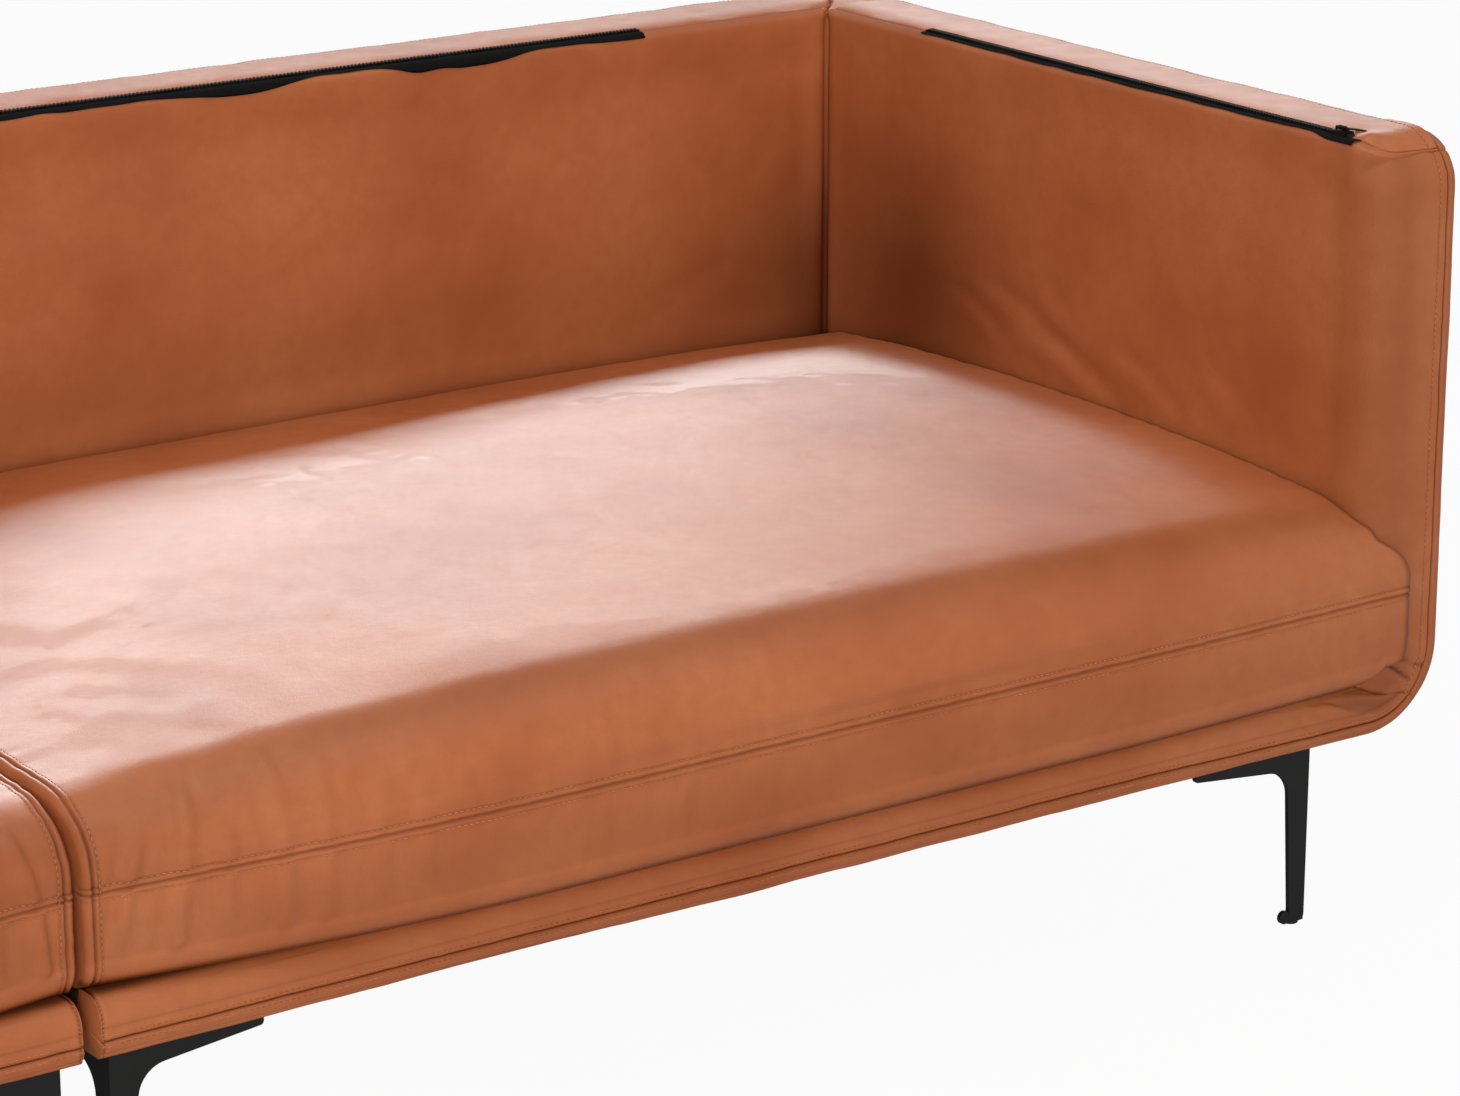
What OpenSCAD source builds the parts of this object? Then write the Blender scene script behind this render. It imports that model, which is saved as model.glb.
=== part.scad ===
// Three-seater leather sofa made of two mirrored modules, millimetres, +Z up.
// Origin: on the floor, under the middle of the whole sofa. The front faces -Y.
// Every sub-part is drawn for the right-hand module; left() mirrors it.

/* [Overall] */
// Width of one module, from its joining end to the outer face of its arm
module_w = 1345; // [1200:5:1600]
// Gap between the two modules
module_gap = 10; // [6:1:16]
// Depth of the upholstered shell, from its front plane to its rear face
shell_d = 900; // [840:5:980]
// Height of the upholstered shell above the legs
shell_h = 534; // [480:2:600]
// Height of the legs with their glides
leg_h = 170; // [140:2:200]

/* [Arms and back] */
// Thickness of an arm
arm_t = 96; // [90:1:120]
// Thickness of the back
back_t = 102; // [94:1:130]
// Radius of the arm's outer bottom edge, seen from the front
corner_r = 77; // [66:1:80]
// Radius of the arm's top front corner, seen from the side
top_r = 45; // [30:1:52]
// Radius of the arm's inner front edge, seen from above
nose_r = 42; // [30:1:48]
// Radius of the outer edges
edge_r = 9; // [6:0.5:11]
// Radius of the inner top edges, under the zips
inner_r = 6; // [4:0.5:8]
// Radius of the rear outer upright edge
rear_r = 12; // [8:1:14]

/* [Covers and padding] */
// Thickness of the leather with its fleece backing
cover_t = 2; // [1.5:0.25:2.5]
// How far the outer cover turns over the top and the front of the shell
wrap_w = 12; // [10:1:18]
// Foam in front of the frame
foam_front = 20; // [16:1:26]
// Foam above the frame
foam_top = 12; // [10:1:18]

/* [Base] */
// Height of the base, from its underside to the deck that carries the cushions
base_h = 48; // [44:1:60]
// Radius of the front rail's upper edge
roll_top_r = 21; // [14:1:22]
// Radius of the front rail's lower edge
roll_low_r = 15; // [10:1:18]
// Height of the arm sill above the underside
sill_h = 56; // [54:1:58]
// Width of the rear rail ahead of the back's frame
rear_ledge = 50; // [44:1:56]

/* [Timber] */
// Thickness of the posts and upper rails
post_t = 30; // [24:1:32]
// Width of a post
post_w = 40; // [30:1:60]
// Depth of an upper rail
top_rail_h = 30; // [24:1:50]
// Thickness of the board skins on the frame
sheet_t = 4; // [3:0.5:5]
// Thickness of the lower rails and cross rails
rail_t = 30; // [24:1:34]
// Height of the middle cross rails
cross_h = 28; // [20:1:34]
// Thickness of the boards that take the leg screws
board_t = 18; // [15:1:22]

/* [Webbing] */
// Width of a webbing strap
strap_w = 60; // [40:1:70]
// Thickness of a webbing strap
strap_t = 2; // [1.5:0.25:2.25]
// Straps from front to back in one module
strap_n = 8; // [6:1:12]
// Straps from end to end in one module
cross_strap_n = 3; // [3:1:6]

/* [Seat cushion] */
// Height of the cushion's top edge above the base's underside, at the joining end
cushion_edge_h = 192; // [170:1:210]
// Extra height of the crown
crown_h = 46; // [20:1:60]
// How far the cushion's front stands out past the shell's front plane
cushion_proud = 25; // [10:1:40]
// How far the cushion's front lies behind the front plane at the joining end
cushion_end_set = 13; // [5:1:20]
// Width of the front top rounding, along the depth
nose_d = 70; // [50:1:90]
// Height of the front top rounding
nose_h = 50; // [36:1:60]
// Radius of the lower edges of the cushion
cushion_low_r = 24; // [16:1:30]
// Radius of the rear top edge of the cushion
cushion_rear_r = 34; // [20:1:44]
// Height of the stitched seam across the front, above the base's underside
seam_h = 127; // [110:1:134]
// Depth of the furrow that a seam draws in
furrow = 2.5; // [1:0.5:4]
// Clearance between the cushion and what stands beside it
soft_gap = 1; // [0.5:0.25:3]
// Clearance between the cushion and the deck that it rests on
rest_gap = 0.3; // [0.2:0.05:0.6]
// Thickness of the cushion's leather with its fibre wrap
cushion_skin = 6; // [4:0.5:8]
// Clearance between the foam core and its cover
core_gap = 0.8; // [0.6:0.1:1.5]

/* [Zips] */
// Width of the tape that shows
tape_w = 12; // [10:1:16]
// Thickness of the tape
tape_t = 0.8; // [0.5:0.1:1]
// Width of the row of teeth
chain_w = 5.2; // [4:0.1:6]
// Height of the row of teeth above the tape
chain_h = 2.4; // [1.8:0.1:2.8]
// Distance from the shell's front plane to the front end of the arm zip
arm_zip_y = 48; // [46:1:90]
// Length of the arm zip
arm_zip_l = 600; // [300:5:680]
// Distance from the module's outer face to the outer end of the back zip
back_zip_x = 313; // [150:1:400]
// Length of the back zip
back_zip_l = 880; // [500:5:990]
// Length of a slider
slider_l = 17; // [14:0.5:20]
// Width of a slider
slider_w = 11; // [10:0.5:13]
// Running clearance of a slider round the teeth
slider_gap = 0.4; // [0.3:0.05:0.6]
// Length of a pull tab
pull_l = 29; // [22:1:36]
// Width of a pull tab
pull_w = 8; // [6:0.5:9]
// Thickness of a pull tab
pull_t = 1.4; // [1:0.1:1.6]

/* [Legs] */
// From the arm's outer face to the outer legs
leg_out_inset = 135; // [110:1:180]
// From the joining end to the inner legs
leg_in_inset = 15; // [10:1:24]
// From the front and rear faces to the legs
leg_y_inset = 15; // [12:1:20]
// Length of a leg's fin
fin_l = 133; // [126:1:150]
// Depth of the fin at its tip
fin_tip_h = 7; // [5:0.5:10]
// Depth of the fin beside the post
fin_root_h = 17; // [12:1:22]
// Radius between the fin and the post
leg_fillet = 26; // [16:1:34]
// Width of the leg under the fin
leg_top_w = 24; // [20:1:30]
// Width of the leg above its foot
leg_low_w = 18; // [14:1:22]
// Width of the foot
foot_w = 28; // [24:1:36]
// Height of the foot
foot_h = 12; // [10:1:18]
// Thickness of a leg's plate
leg_t = 5; // [4:0.5:7]
// Length of the mounting plate's two sides
plate_l = 126; // [124:1:140]
// Thickness of the mounting plate
plate_t = 4; // [3:0.5:6]
// Height of a glide
glide_h = 3; // [2:0.5:5]
// Diameter of a glide
glide_d = 24; // [18:1:26]

/* [Fasteners] */
// Diameter of a leg screw
screw_d = 5; // [4:0.5:6]
// Length of a leg screw under its head
screw_l = 20; // [16:1:22]
// Diameter of a joining bolt
bolt_d = 8; // [6:1:10]
// Clearance round a screw or bolt, on the radius
hole_gap = 0.3; // [0.2:0.05:0.5]
// Diameter of the rubber spacers between the modules
spacer_d = 30; // [22:1:38]

/* [Hidden] */

// Colours, as the photograph shows them
leather = [0.66, 0.36, 0.23];
lining = [0.12, 0.11, 0.11];
foam = [0.93, 0.89, 0.74];
timber = [0.78, 0.62, 0.42];
board = [0.70, 0.55, 0.38];
webbing = [0.25, 0.22, 0.20];
black = [0.05, 0.05, 0.05];
steel = [0.55, 0.56, 0.58];

// Extra length of a cut past the face that it opens
over = 10;
// Flat steps in a quarter round of an edge
arc_n = 6;
// Flat sides of a leg screw, of the other small rounds and of the larger rounds
screw_n = 8;
small_n = 10;
round_n = 16;

// Main planes of the right-hand module
x_join = module_gap / 2;
x_out = x_join + module_w;
x_arm = x_out - arm_t;
y_front = -(shell_d + cushion_proud) / 2 + cushion_proud;
y_rear = y_front + shell_d;
y_back = y_rear - back_t;
z_base = leg_h;
z_top = z_base + shell_h;
z_deck = z_base + base_h;
z_sill = z_base + sill_h;

// Planes of the frame inside the covers
x_base = x_arm + cover_t;
x_skin = x_out - cover_t;
x_post = x_skin - sheet_t;
x_core = x_post - post_t;
x_pad = x_core - sheet_t;
y_skin = y_rear - cover_t;
y_post = y_skin - sheet_t;
y_core = y_post - post_t;
y_pad = y_core - sheet_t;
y_rail = y_front + cover_t + foam_front;
y_rail_in = y_rail + rail_t;
y_ledge = y_core - rear_ledge;
z_rail = z_base + cover_t;
z_rail_top = z_deck - 2 * strap_t;
z_frame = z_top - cover_t - foam_top;
z_post_top = z_frame - top_rail_h;
// The front rail's cover ends here on top of the rail, and the webbing starts here
tuck_share = 0.4;
y_tuck = y_rail + rail_t * tuck_share;
// The rear cover turns under by this much
rear_turn = 30;

function arc(c, rx, ry, a0, a1, n) = [for (i = [0:n])
    [c[0] + rx * cos(a0 + (a1 - a0) * i / n), c[1] + ry * sin(a0 + (a1 - a0) * i / n)]];
function corner(c, r, a0) = r > 0 ? arc(c, r, r, a0, a0 + 90, arc_n) : [c];
// A rectangle from p to q with the radii r: low-low, high-low, high-high, low-high
function round_box(p, q, r) = concat(
    corner([p[0] + r[0], p[1] + r[0]], r[0], 180),
    corner([q[0] - r[1], p[1] + r[1]], r[1], 270),
    corner([q[0] - r[2], q[1] - r[2]], r[2], 0),
    corner([p[0] + r[3], q[1] - r[3]], r[3], 90));

module box(p, q) translate(p) cube(q - p);
module along_x(points, x0, x1) translate([x0, 0, 0]) rotate([90, 0, 90])
    linear_extrude(x1 - x0) polygon(points);
module along_y(points, y0, y1) translate([0, y1, 0]) rotate([90, 0, 0])
    linear_extrude(y1 - y0) polygon(points);
module along_z(points, z0, z1) translate([0, 0, z0]) linear_extrude(z1 - z0) polygon(points);
module left() mirror([1, 0, 0]) children();
module right() children();

// Outline of the shell's front view inside an inset d, from the plane x0 outwards
function front_view(x0, d, inner) = round_box([x0, z_base + d], [x_out - d, z_top - d],
    [0, corner_r - d, edge_r - d, inner]);
// Side view of the front rail inside an inset d
function rail_view(d) = round_box([y_front + d, z_base + d], [y_rail_in, z_deck - d],
    [roll_low_r - d, 0, 0, roll_top_r - d]);

// The arm's whole form inside an inset d, up to the plane y1
module arm_body(d, y1) intersection() {
    along_y(front_view(x_arm + d, d, inner_r - d), y_front - over, y1);
    along_x(round_box([y_front + d, z_base + d], [y1 + over, z_top - d],
        [roll_low_r - d, 0, 0, top_r - d]), x_arm - over, x_out + over);
    union() {
        along_z(round_box([x_arm + d, y_front + d], [x_out - d, y1 + over],
            [nose_r - d, edge_r - d, 0, 0]), z_base - over, z_top + over);
        along_x(rail_view(d), x_arm + d, x_arm + nose_r);
    }
}
// The back's whole form inside an inset d
module back_body(d) intersection() {
    along_y(front_view(x_join + d, d, 0), y_back + d, y_rear - d);
    along_x(round_box([y_back + d, z_base + d], [y_rear - d, z_top - d],
        [0, 0, edge_r - d, inner_r - d]), x_join - over, x_out + over);
    along_z(round_box([x_join + d, y_back + d], [x_out - d, y_rear - d],
        [0, 0, rear_r - d, 0]), z_base - over, z_top + over);
}
// The bare leather shells, open where the arm meets the back
module arm_shell() difference() {
    arm_body(0, y_back);
    arm_body(cover_t, y_back + over);
}
module back_shell() difference() {
    back_body(0);
    back_body(cover_t);
    along_y(front_view(x_base, cover_t, 0), y_back - over, y_back + over);
}
// What lies inside the seam of the outer cover on the arm
module arm_seam_core() along_y(round_box([x_arm - over, z_base + wrap_w],
    [x_out - wrap_w, z_top + over], [0, corner_r - wrap_w, 0, 0]), y_front - over, y_back + over);
module back_seam_core() box([x_join + cover_t, y_back - over, z_deck],
    [x_out - wrap_w, y_rear - wrap_w, z_top + over]);

// Places of the legs' corners, going round from the front inner leg; each is a quarter turn further
x_leg_in = x_join + leg_in_inset;
x_leg_out = x_out - leg_out_inset;
y_leg_front = y_front + leg_y_inset;
y_leg_rear = y_rear - leg_y_inset;
LEGS = [[x_leg_in, y_leg_front], [x_leg_out, y_leg_front], [x_leg_out, y_leg_rear],
    [x_leg_in, y_leg_rear]];
// Screw places on a mounting plate, as shares of its sides
SCREW_SHARES = [[0.26, 0.18], [0.68, 0.18], [0.26, 0.66]];
// Plane of the underside of the mounting plates
z_plate = z_base - plate_t;
module at_leg(i) translate([LEGS[i][0], LEGS[i][1], 0]) rotate(90 * i) children();
module at_legs() for (i = [0:3]) at_leg(i) children();
module at_screws() at_legs() for (s = SCREW_SHARES)
    translate([s[0] * plate_l, s[1] * plate_l, z_plate]) children();
module screw_holes() at_screws() translate([0, 0, -over])
    cylinder(h = over + screw_l + over, d = screw_d + 2 * hole_gap, $fn = screw_n);

// Joining bolts: places along the inner cross rails
bolt_share = 0.32;
z_bolt = (z_rail + z_rail_top) / 2;
BOLT_Y = [for (k = [-1, 0, 1]) (y_rail_in + y_ledge) / 2 + k * bolt_share * (y_ledge - y_rail_in)];
module at_bolts() for (y = BOLT_Y) translate([0, y, z_bolt]) rotate([0, 90, 0]) children();
module bolt_holes() at_bolts()
    cylinder(h = x_join + cover_t + rail_t + over, d = bolt_d + 2 * hole_gap, $fn = small_n);

// Timber frame
module long_rails() color(timber) difference() {
    union() {
        box([x_join + cover_t, y_rail, z_rail], [x_base, y_rail_in, z_rail_top]);
        box([x_join + cover_t, y_ledge, z_rail], [x_base, y_post, z_rail_top]);
    }
    screw_holes();
}
CROSS_SHARES = [1 / 3, 2 / 3];
module cross_rails() color(timber) difference() {
    union() {
        box([x_join + cover_t, y_rail_in, z_rail], [x_join + cover_t + rail_t, y_ledge, z_rail_top]);
        for (s = CROSS_SHARES) let (x = x_join + s * (x_base - x_join))
            box([x, y_rail_in, z_rail], [x + rail_t, y_ledge, z_rail + cross_h]);
        intersection() {
            arm_body(cover_t, y_post);
            box([x_base, y_rail, z_base], [x_out, y_rear, z_sill]);
        }
    }
    bolt_holes();
}
module frame_posts() color(timber) {
    box([x_core, y_rail, z_sill], [x_post, y_rail + post_w, z_post_top]);
    box([x_core, (y_rail + y_core) / 2, z_sill], [x_post, (y_rail + y_core) / 2 + post_w, z_post_top]);
    box([x_core, y_core, z_sill], [x_post, y_post, z_post_top]);
    for (s = CROSS_SHARES) let (x = x_join + s * (x_base - x_join))
        box([x, y_core, z_rail_top], [x + post_w, y_post, z_post_top]);
    box([x_join + cover_t, y_core, z_rail_top], [x_join + cover_t + post_w, y_post, z_post_top]);
}
module top_rails() color(timber) {
    box([x_core, y_rail, z_post_top], [x_post, y_core, z_frame]);
    box([x_join + cover_t, y_core, z_post_top], [x_post, y_post, z_frame]);
}
module arm_panels() color(board) {
    box([x_pad, y_rail, z_sill], [x_core, y_pad, z_frame]);
    box([x_post, y_rail, z_base + corner_r], [x_skin, y_rear - rear_r, z_frame]);
}
module back_panels() color(board) {
    box([x_join + cover_t, y_pad, z_sill], [x_pad, y_core, z_frame]);
    box([x_join + cover_t, y_post, z_rail], [x_out - corner_r, y_skin, z_frame]);
}
board_w = plate_l + leg_out_inset - arm_t;
module leg_board_pair(y0, y1) {
    box([x_base - board_w, y0, z_rail], [x_base, y1, z_rail + board_t]);
    box([x_join + cover_t + rail_t, y0, z_rail],
        [x_leg_in + plate_l, y1, z_rail + board_t]);
}
module leg_boards() color(board) difference() {
    union() {
        leg_board_pair(y_rail_in, y_leg_front + plate_l);
        leg_board_pair(y_leg_rear - plate_l, y_ledge);
    }
    screw_holes();
}

// Webbing: straps from front to back lie on straps from end to end
function strap_at(p, q, n, i) = p + (q - p) * (i + 0.5) / n - strap_w / 2;
module seat_webbing() color(webbing) union() {
    for (i = [0:strap_n - 1]) let (x = strap_at(x_join + cover_t, x_arm, strap_n, i))
        box([x, y_tuck, z_deck - strap_t], [x + strap_w, y_ledge + rail_t, z_deck]);
    for (i = [0:cross_strap_n - 1]) let (y = strap_at(y_rail_in, y_ledge, cross_strap_n, i))
        box([x_join + cover_t, y, z_rail_top], [x_base, y + strap_w, z_deck - strap_t]);
    for (y = [y_tuck, y_ledge])
        box([x_join + cover_t, y, z_rail_top], [x_base, y + rail_t, z_deck - strap_t]);
}

// Foam
module arm_foam() color(foam) difference() {
    arm_body(cover_t, y_back + cover_t);
    box([x_pad, y_rail, z_base], [x_out, y_rear, z_frame]);
    box([x_arm, y_rail, z_base], [x_out, y_rear, z_sill]);
}
module back_foam() color(foam) difference() {
    back_body(cover_t);
    box([x_join, y_back, z_base], [x_out, y_rear, z_deck]);
    box([x_base, y_back, z_base], [x_out, y_rear, z_sill]);
    box([x_join, y_pad, z_base], [x_out, y_rear, z_frame]);
    box([x_pad, y_back, z_base], [x_out, y_rear, z_frame]);
}
module rail_foam() color(foam) difference() {
    along_x(rail_view(cover_t), x_join + cover_t, x_base);
    box([x_join, y_rail, z_base], [x_base + over, y_rear, z_rail_top]);
    box([x_join, y_tuck, z_base], [x_base + over, y_rear, z_top]);
}

// Leather covers
module arm_outer_cover() color(leather) difference() {
    arm_shell();
    arm_seam_core();
    box([x_arm - over, y_front - over, z_base - over], [x_base, y_back + over, z_deck]);
}
module arm_inner_cover() color(leather) difference() {
    intersection() {
        arm_shell();
        arm_seam_core();
    }
    box([x_arm - over, y_front - over, z_base - over], [x_base, y_back + over, z_deck]);
}
module back_outer_cover() color(leather) difference() {
    back_shell();
    back_seam_core();
    box([x_join - over, y_back - over, z_base - over], [x_base, y_rear - rear_turn, z_rail]);
    box([x_join + cover_t, y_back - over, z_base - over], [x_base, y_back + cover_t, z_deck]);
}
module back_inner_cover() color(leather) intersection() {
    back_shell();
    back_seam_core();
}
module rail_cover() color(leather) difference() {
    along_x(rail_view(0), x_join, x_base);
    along_x(round_box([y_front + cover_t, z_rail], [y_rail_in + over, z_deck - cover_t],
        [roll_low_r - cover_t, 0, 0, roll_top_r - cover_t]), x_join + cover_t, x_base + over);
    box([x_join + cover_t, y_tuck, z_rail_top - cover_t], [x_base + over, y_rear, z_top]);
    screw_holes();
}
module dust_cover() color(lining) difference() {
    union() {
        box([x_join, y_rail_in, z_base], [x_base, y_rear - rear_turn, z_rail]);
        box([x_join, y_rail_in, z_base], [x_join + cover_t, y_back, z_rail_top]);
    }
    screw_holes();
    bolt_holes();
}

// Seat cushion: closed sections across it, one behind the other along X
x_rim0 = x_join + soft_gap;
x_rim1 = x_arm - soft_gap;
y_cush = y_back - soft_gap;
z_cush = z_deck + rest_gap;
z_edge = z_base + cushion_edge_h;
// How far each end panel domes out past its seam
dome = 6;
// How far in from the ends the crown reaches its full height, as shares of the width
crown_run_share = 0.32;
arm_run_share = 0.24;
// What the crown and the front bulge keep at the arm's end and at the front and rear edges
arm_keep_share = 0.75;
edge_keep_share = 0.55;
// How closely the cushion follows the arm's rounded inner front edge
flare_share = 0.72;
flare_run_share = 0.1;
// Stations of the sections along the width, with the size of each section
STATION_SHARES = [0, 0.008, 0.016, 0.05, 0.11, 0.19, 0.29, 0.41, 0.55, 0.69, 0.81, 0.9, 0.955,
    0.984, 0.992, 1];
CAP_SHARES = [0.3, 0.65, 0.85, 0.93, 0.97];
CORE_STATION_SHARES = [0, 0.1, 0.3, 0.6, 0.85, 1];
CORE_CAP_SHARES = [0.8];
// Points of a section along its underside, from the front, and along its top, from the rear
UNDER_SHARES = [0.016, 0.031, 0.046, 0.07, 0.2, 0.5, 0.8];
OVER_SHARES = [0.12, 0.3, 0.5, 0.7, 0.88];
// Steps in a round of the cover and of the core
cushion_n = 4;
core_n = 2;

function rise(t) = sin(90 * min(1, max(0, t)));
function crown_at(s) = rise(s / crown_run_share)
    * (1 - (1 - arm_keep_share) * (1 - rise((1 - s) / arm_run_share)));
function between(p, q, shares) = [for (s = shares) p + (q - p) * s];
// Section at the station share s, inside an inset d, with n steps in a round
function section(s, d, n) = let (
    c = crown_at(s),
    f = y_front + cushion_end_set - c * (cushion_end_set + cushion_proud) + d,
    b = z_cush + d, r = y_cush - d, t = z_edge - d,
    low = cushion_low_r - d, rear = cushion_rear_r - d, nd = nose_d - d, nh = nose_h - d,
    cut = z_base + seam_h, middle = (y_front + y_cush) / 2, half = (y_cush - y_front) / 2,
    flat = concat(
        arc([f + low, b + low], low, low, 180, 270, n),
        between([f + low, b], [r - low, b], UNDER_SHARES),
        arc([r - low, b + low], low, low, 270, 360, n),
        arc([r - rear, t - rear], rear, rear, 0, 90, n),
        between([r - rear, t], [f + nd, t], OVER_SHARES),
        arc([f + nd, t - nh], nd, nh, 90, 180, n),
        [[f, cut + 2 * furrow], [f + furrow, cut], [f, cut - 2 * furrow]]))
    [for (p = flat) let (
        u = (p[0] - middle) / half,
        g = c * crown_h * (1 - (1 - edge_keep_share) * u * u) * pow((p[1] - b) / (t - b), 2))
        [p[0], p[1] + g]];
function section_middle(s) = [(y_front + y_cush) / 2, (z_cush + z_edge + crown_at(s) * crown_h) / 2];
// How far the end panel reaches round the arm's front edge at the depth y
function flare(y) = let (t = min(max(y_front + nose_r - y, 0), nose_r))
    flare_share * (nose_r - sqrt(nose_r * nose_r - t * t));
function placed(x, w, loop) = [for (p = loop) [x + w * flare(p[0]), p[0], p[1]]];
function shrunk(loop, m, k) = [for (p = loop) m + (p - m) * k];
function cap(s, d, n, x, w, out, shares) = [for (k = shares)
    placed(x + out * dome * (1 - k * k), w, shrunk(section(s, d, n), section_middle(s), k))];
function furrowed(i, stations) = i == 1 || i == len(stations) - 2 ? furrow : 0;
function rings(d, n, stations, caps, pull, reach) = let (
    a = x_rim0 + dome + d, b = x_rim1 - dome - d) concat(
    cap(0, d, n, a, 0, -1, caps),
    [for (i = [0:len(stations) - 1]) let (s = stations[i])
        placed(a + s * (b - a), reach * pow(max(0, 1 - (1 - s) / flare_run_share), 2),
            section(s, d + pull * furrowed(i, stations), n))],
    [for (i = [len(caps) - 1:-1:0]) cap(1, d, n, b, reach, 1, caps)[i]]);
// A closed solid through rings of points, with a pole at each end
module ring_solid(r, pole0, pole1) {
    n = len(r[0]);
    m = len(r);
    polyhedron(
        points = concat([for (ring = r) each ring], [pole0, pole1]),
        faces = concat(
            [for (j = [0:n - 1]) [m * n, j, (j + 1) % n]],
            [for (j = [0:n - 1]) [m * n + 1, (m - 1) * n + (j + 1) % n, (m - 1) * n + j]],
            [for (i = [0:m - 2], j = [0:n - 1]) let (k = (j + 1) % n, a = i * n, b = a + n)
                each [[a + j, b + j, b + k], [a + j, b + k, a + k]]]));
}
module cushion_form(d, n, stations, caps, pull, reach) {
    m0 = section_middle(0);
    m1 = section_middle(1);
    ring_solid(rings(d, n, stations, caps, pull, reach),
        [x_rim0 + d, m0[0], m0[1]], [x_rim1 - d, m1[0], m1[1]]);
}
module cushion_cover() color(leather) difference() {
    cushion_form(0, cushion_n, STATION_SHARES, CAP_SHARES, 1, 1);
    cushion_form(cushion_skin, core_n, CORE_STATION_SHARES, CORE_CAP_SHARES, 0, 0);
}
module cushion_core() color(foam)
    cushion_form(cushion_skin + core_gap, core_n, CORE_STATION_SHARES, CORE_CAP_SHARES, 0, 0);

// Zips: drawn on the plane Z = 0 along +Y, the top band on the +X side
stop_l = 3;
stop_gap = 0.5;
slider_wall = 1.5;
bar_r = 1;
bar_rise = 2.3;
ring_gap = 0.3;
ring_wall = 0.65;
z_chain = tape_t + chain_h;
z_slider = z_chain + slider_gap + slider_wall;
z_bar = z_slider + bar_rise;
slider_rest = stop_l + stop_gap + slider_l / 2;
pull_tilt = asin((z_bar - pull_t / 2 - rest_gap) / pull_l);
module arm_zip_at() translate([x_arm + inner_r + tape_w / 2, y_front + arm_zip_y, z_top]) children();
module back_zip_at() translate([x_out - back_zip_x, y_back + inner_r + tape_w / 2, z_top])
    rotate(90) children();
module zip_run(l) union() {
    box([-tape_w / 2, 0, 0], [tape_w / 2, l, tape_t]);
    box([-chain_w / 2, 0, tape_t], [chain_w / 2, l, z_chain]);
    for (y = [0, l - stop_l])
        box([-slider_w / 2, y, tape_t], [slider_w / 2, y + stop_l, z_chain]);
}
module zip_slider() color(black) union() {
    difference() {
        box([-slider_w / 2, -slider_l / 2, tape_t + slider_gap], [slider_w / 2, slider_l / 2, z_slider]);
        box([-chain_w / 2 - slider_gap, -slider_l, 0],
            [chain_w / 2 + slider_gap, slider_l, z_chain + slider_gap]);
    }
    for (y = [-1, 1]) translate([0, y * (slider_l / 2 - bar_r), z_slider - slider_wall / 2])
        cylinder(h = bar_rise + slider_wall / 2, r = bar_r, $fn = small_n);
    translate([0, bar_r - slider_l / 2, z_bar]) rotate([-90, 0, 0])
        cylinder(h = slider_l - 2 * bar_r, r = bar_r, $fn = round_n);
}
// The pull's eye goes round the slider's bar, and its tab lies on the top band
PULL_SLOT_SHARES = [0.42, 0.84];
pull_slot_w_share = 0.4;
module zip_pull() color(black) translate([0, 0, z_bar]) rotate([0, pull_tilt, 0]) difference() {
    union() {
        translate([0, -pull_w / 2, 0]) rotate([-90, 0, 0])
            cylinder(h = pull_w, r = bar_r + ring_gap + ring_wall, $fn = round_n);
        box([0, -pull_w / 2, -pull_t / 2], [pull_l - pull_w / 2, pull_w / 2, pull_t / 2]);
        translate([pull_l - pull_w / 2, 0, -pull_t / 2]) cylinder(h = pull_t, d = pull_w, $fn = round_n);
    }
    translate([0, -pull_w, 0]) rotate([-90, 0, 0])
        cylinder(h = 2 * pull_w, r = bar_r + ring_gap, $fn = round_n);
    box([PULL_SLOT_SHARES[0] * pull_l, -pull_slot_w_share * pull_w / 2, -pull_t],
        [PULL_SLOT_SHARES[1] * pull_l, pull_slot_w_share * pull_w / 2, pull_t]);
}
module zip_tapes() color(black) {
    arm_zip_at() zip_run(arm_zip_l);
    back_zip_at() zip_run(back_zip_l);
}
module arm_zip_slider() arm_zip_at() translate([0, slider_rest, 0]) zip_slider();
module arm_zip_pull() arm_zip_at() translate([0, slider_rest, 0]) zip_pull();
module back_zip_slider() back_zip_at() translate([0, back_zip_l - slider_rest, 0]) zip_slider();
module back_zip_pull() back_zip_at() translate([0, back_zip_l - slider_rest, 0]) zip_pull();

// Legs: the corner stands at the origin, the fins run along +X and +Y
tip_r = 2.5;
foot_r = 4;
// Steps in the rounds of a foot and of a fin's tip, and the share of a quarter round at the foot's lip
foot_n = 3;
tip_n = 2;
foot_lip_share = 2 / 3;
fin_side = concat(
    arc([foot_r, glide_h + foot_r], foot_r, foot_r, 180, 270, foot_n),
    arc([foot_w - foot_r, glide_h + foot_r], foot_r, foot_r, 270, 360, foot_n),
    arc([foot_w - foot_r, glide_h + foot_h - foot_r], foot_r, foot_r, 0, 90 * foot_lip_share, tip_n),
    [[leg_low_w, glide_h + 2 * foot_h]],
    arc([leg_top_w + leg_fillet, z_base - fin_root_h - leg_fillet], leg_fillet, leg_fillet,
        180, 90, arc_n),
    arc([fin_l - tip_r, z_base - fin_tip_h + tip_r], tip_r, tip_r, 270, 360, tip_n),
    [[fin_l, z_base], [0, z_base]]);
module leg() color(black) difference() {
    union() {
        along_y(fin_side, 0, leg_t);
        along_x(fin_side, 0, leg_t);
        along_z([[0, 0], [plate_l, 0], [0, plate_l]], z_plate, z_base);
        box([0, 0, glide_h], [foot_w - foot_r, foot_w - foot_r, glide_h + plate_t]);
    }
    for (s = SCREW_SHARES) translate([s[0] * plate_l, s[1] * plate_l, z_plate - over])
        cylinder(h = 2 * over + plate_t, d = screw_d + 2 * hole_gap, $fn = screw_n);
}
module front_inner_leg() at_leg(0) leg();
module front_outer_leg() at_leg(1) leg();
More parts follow.
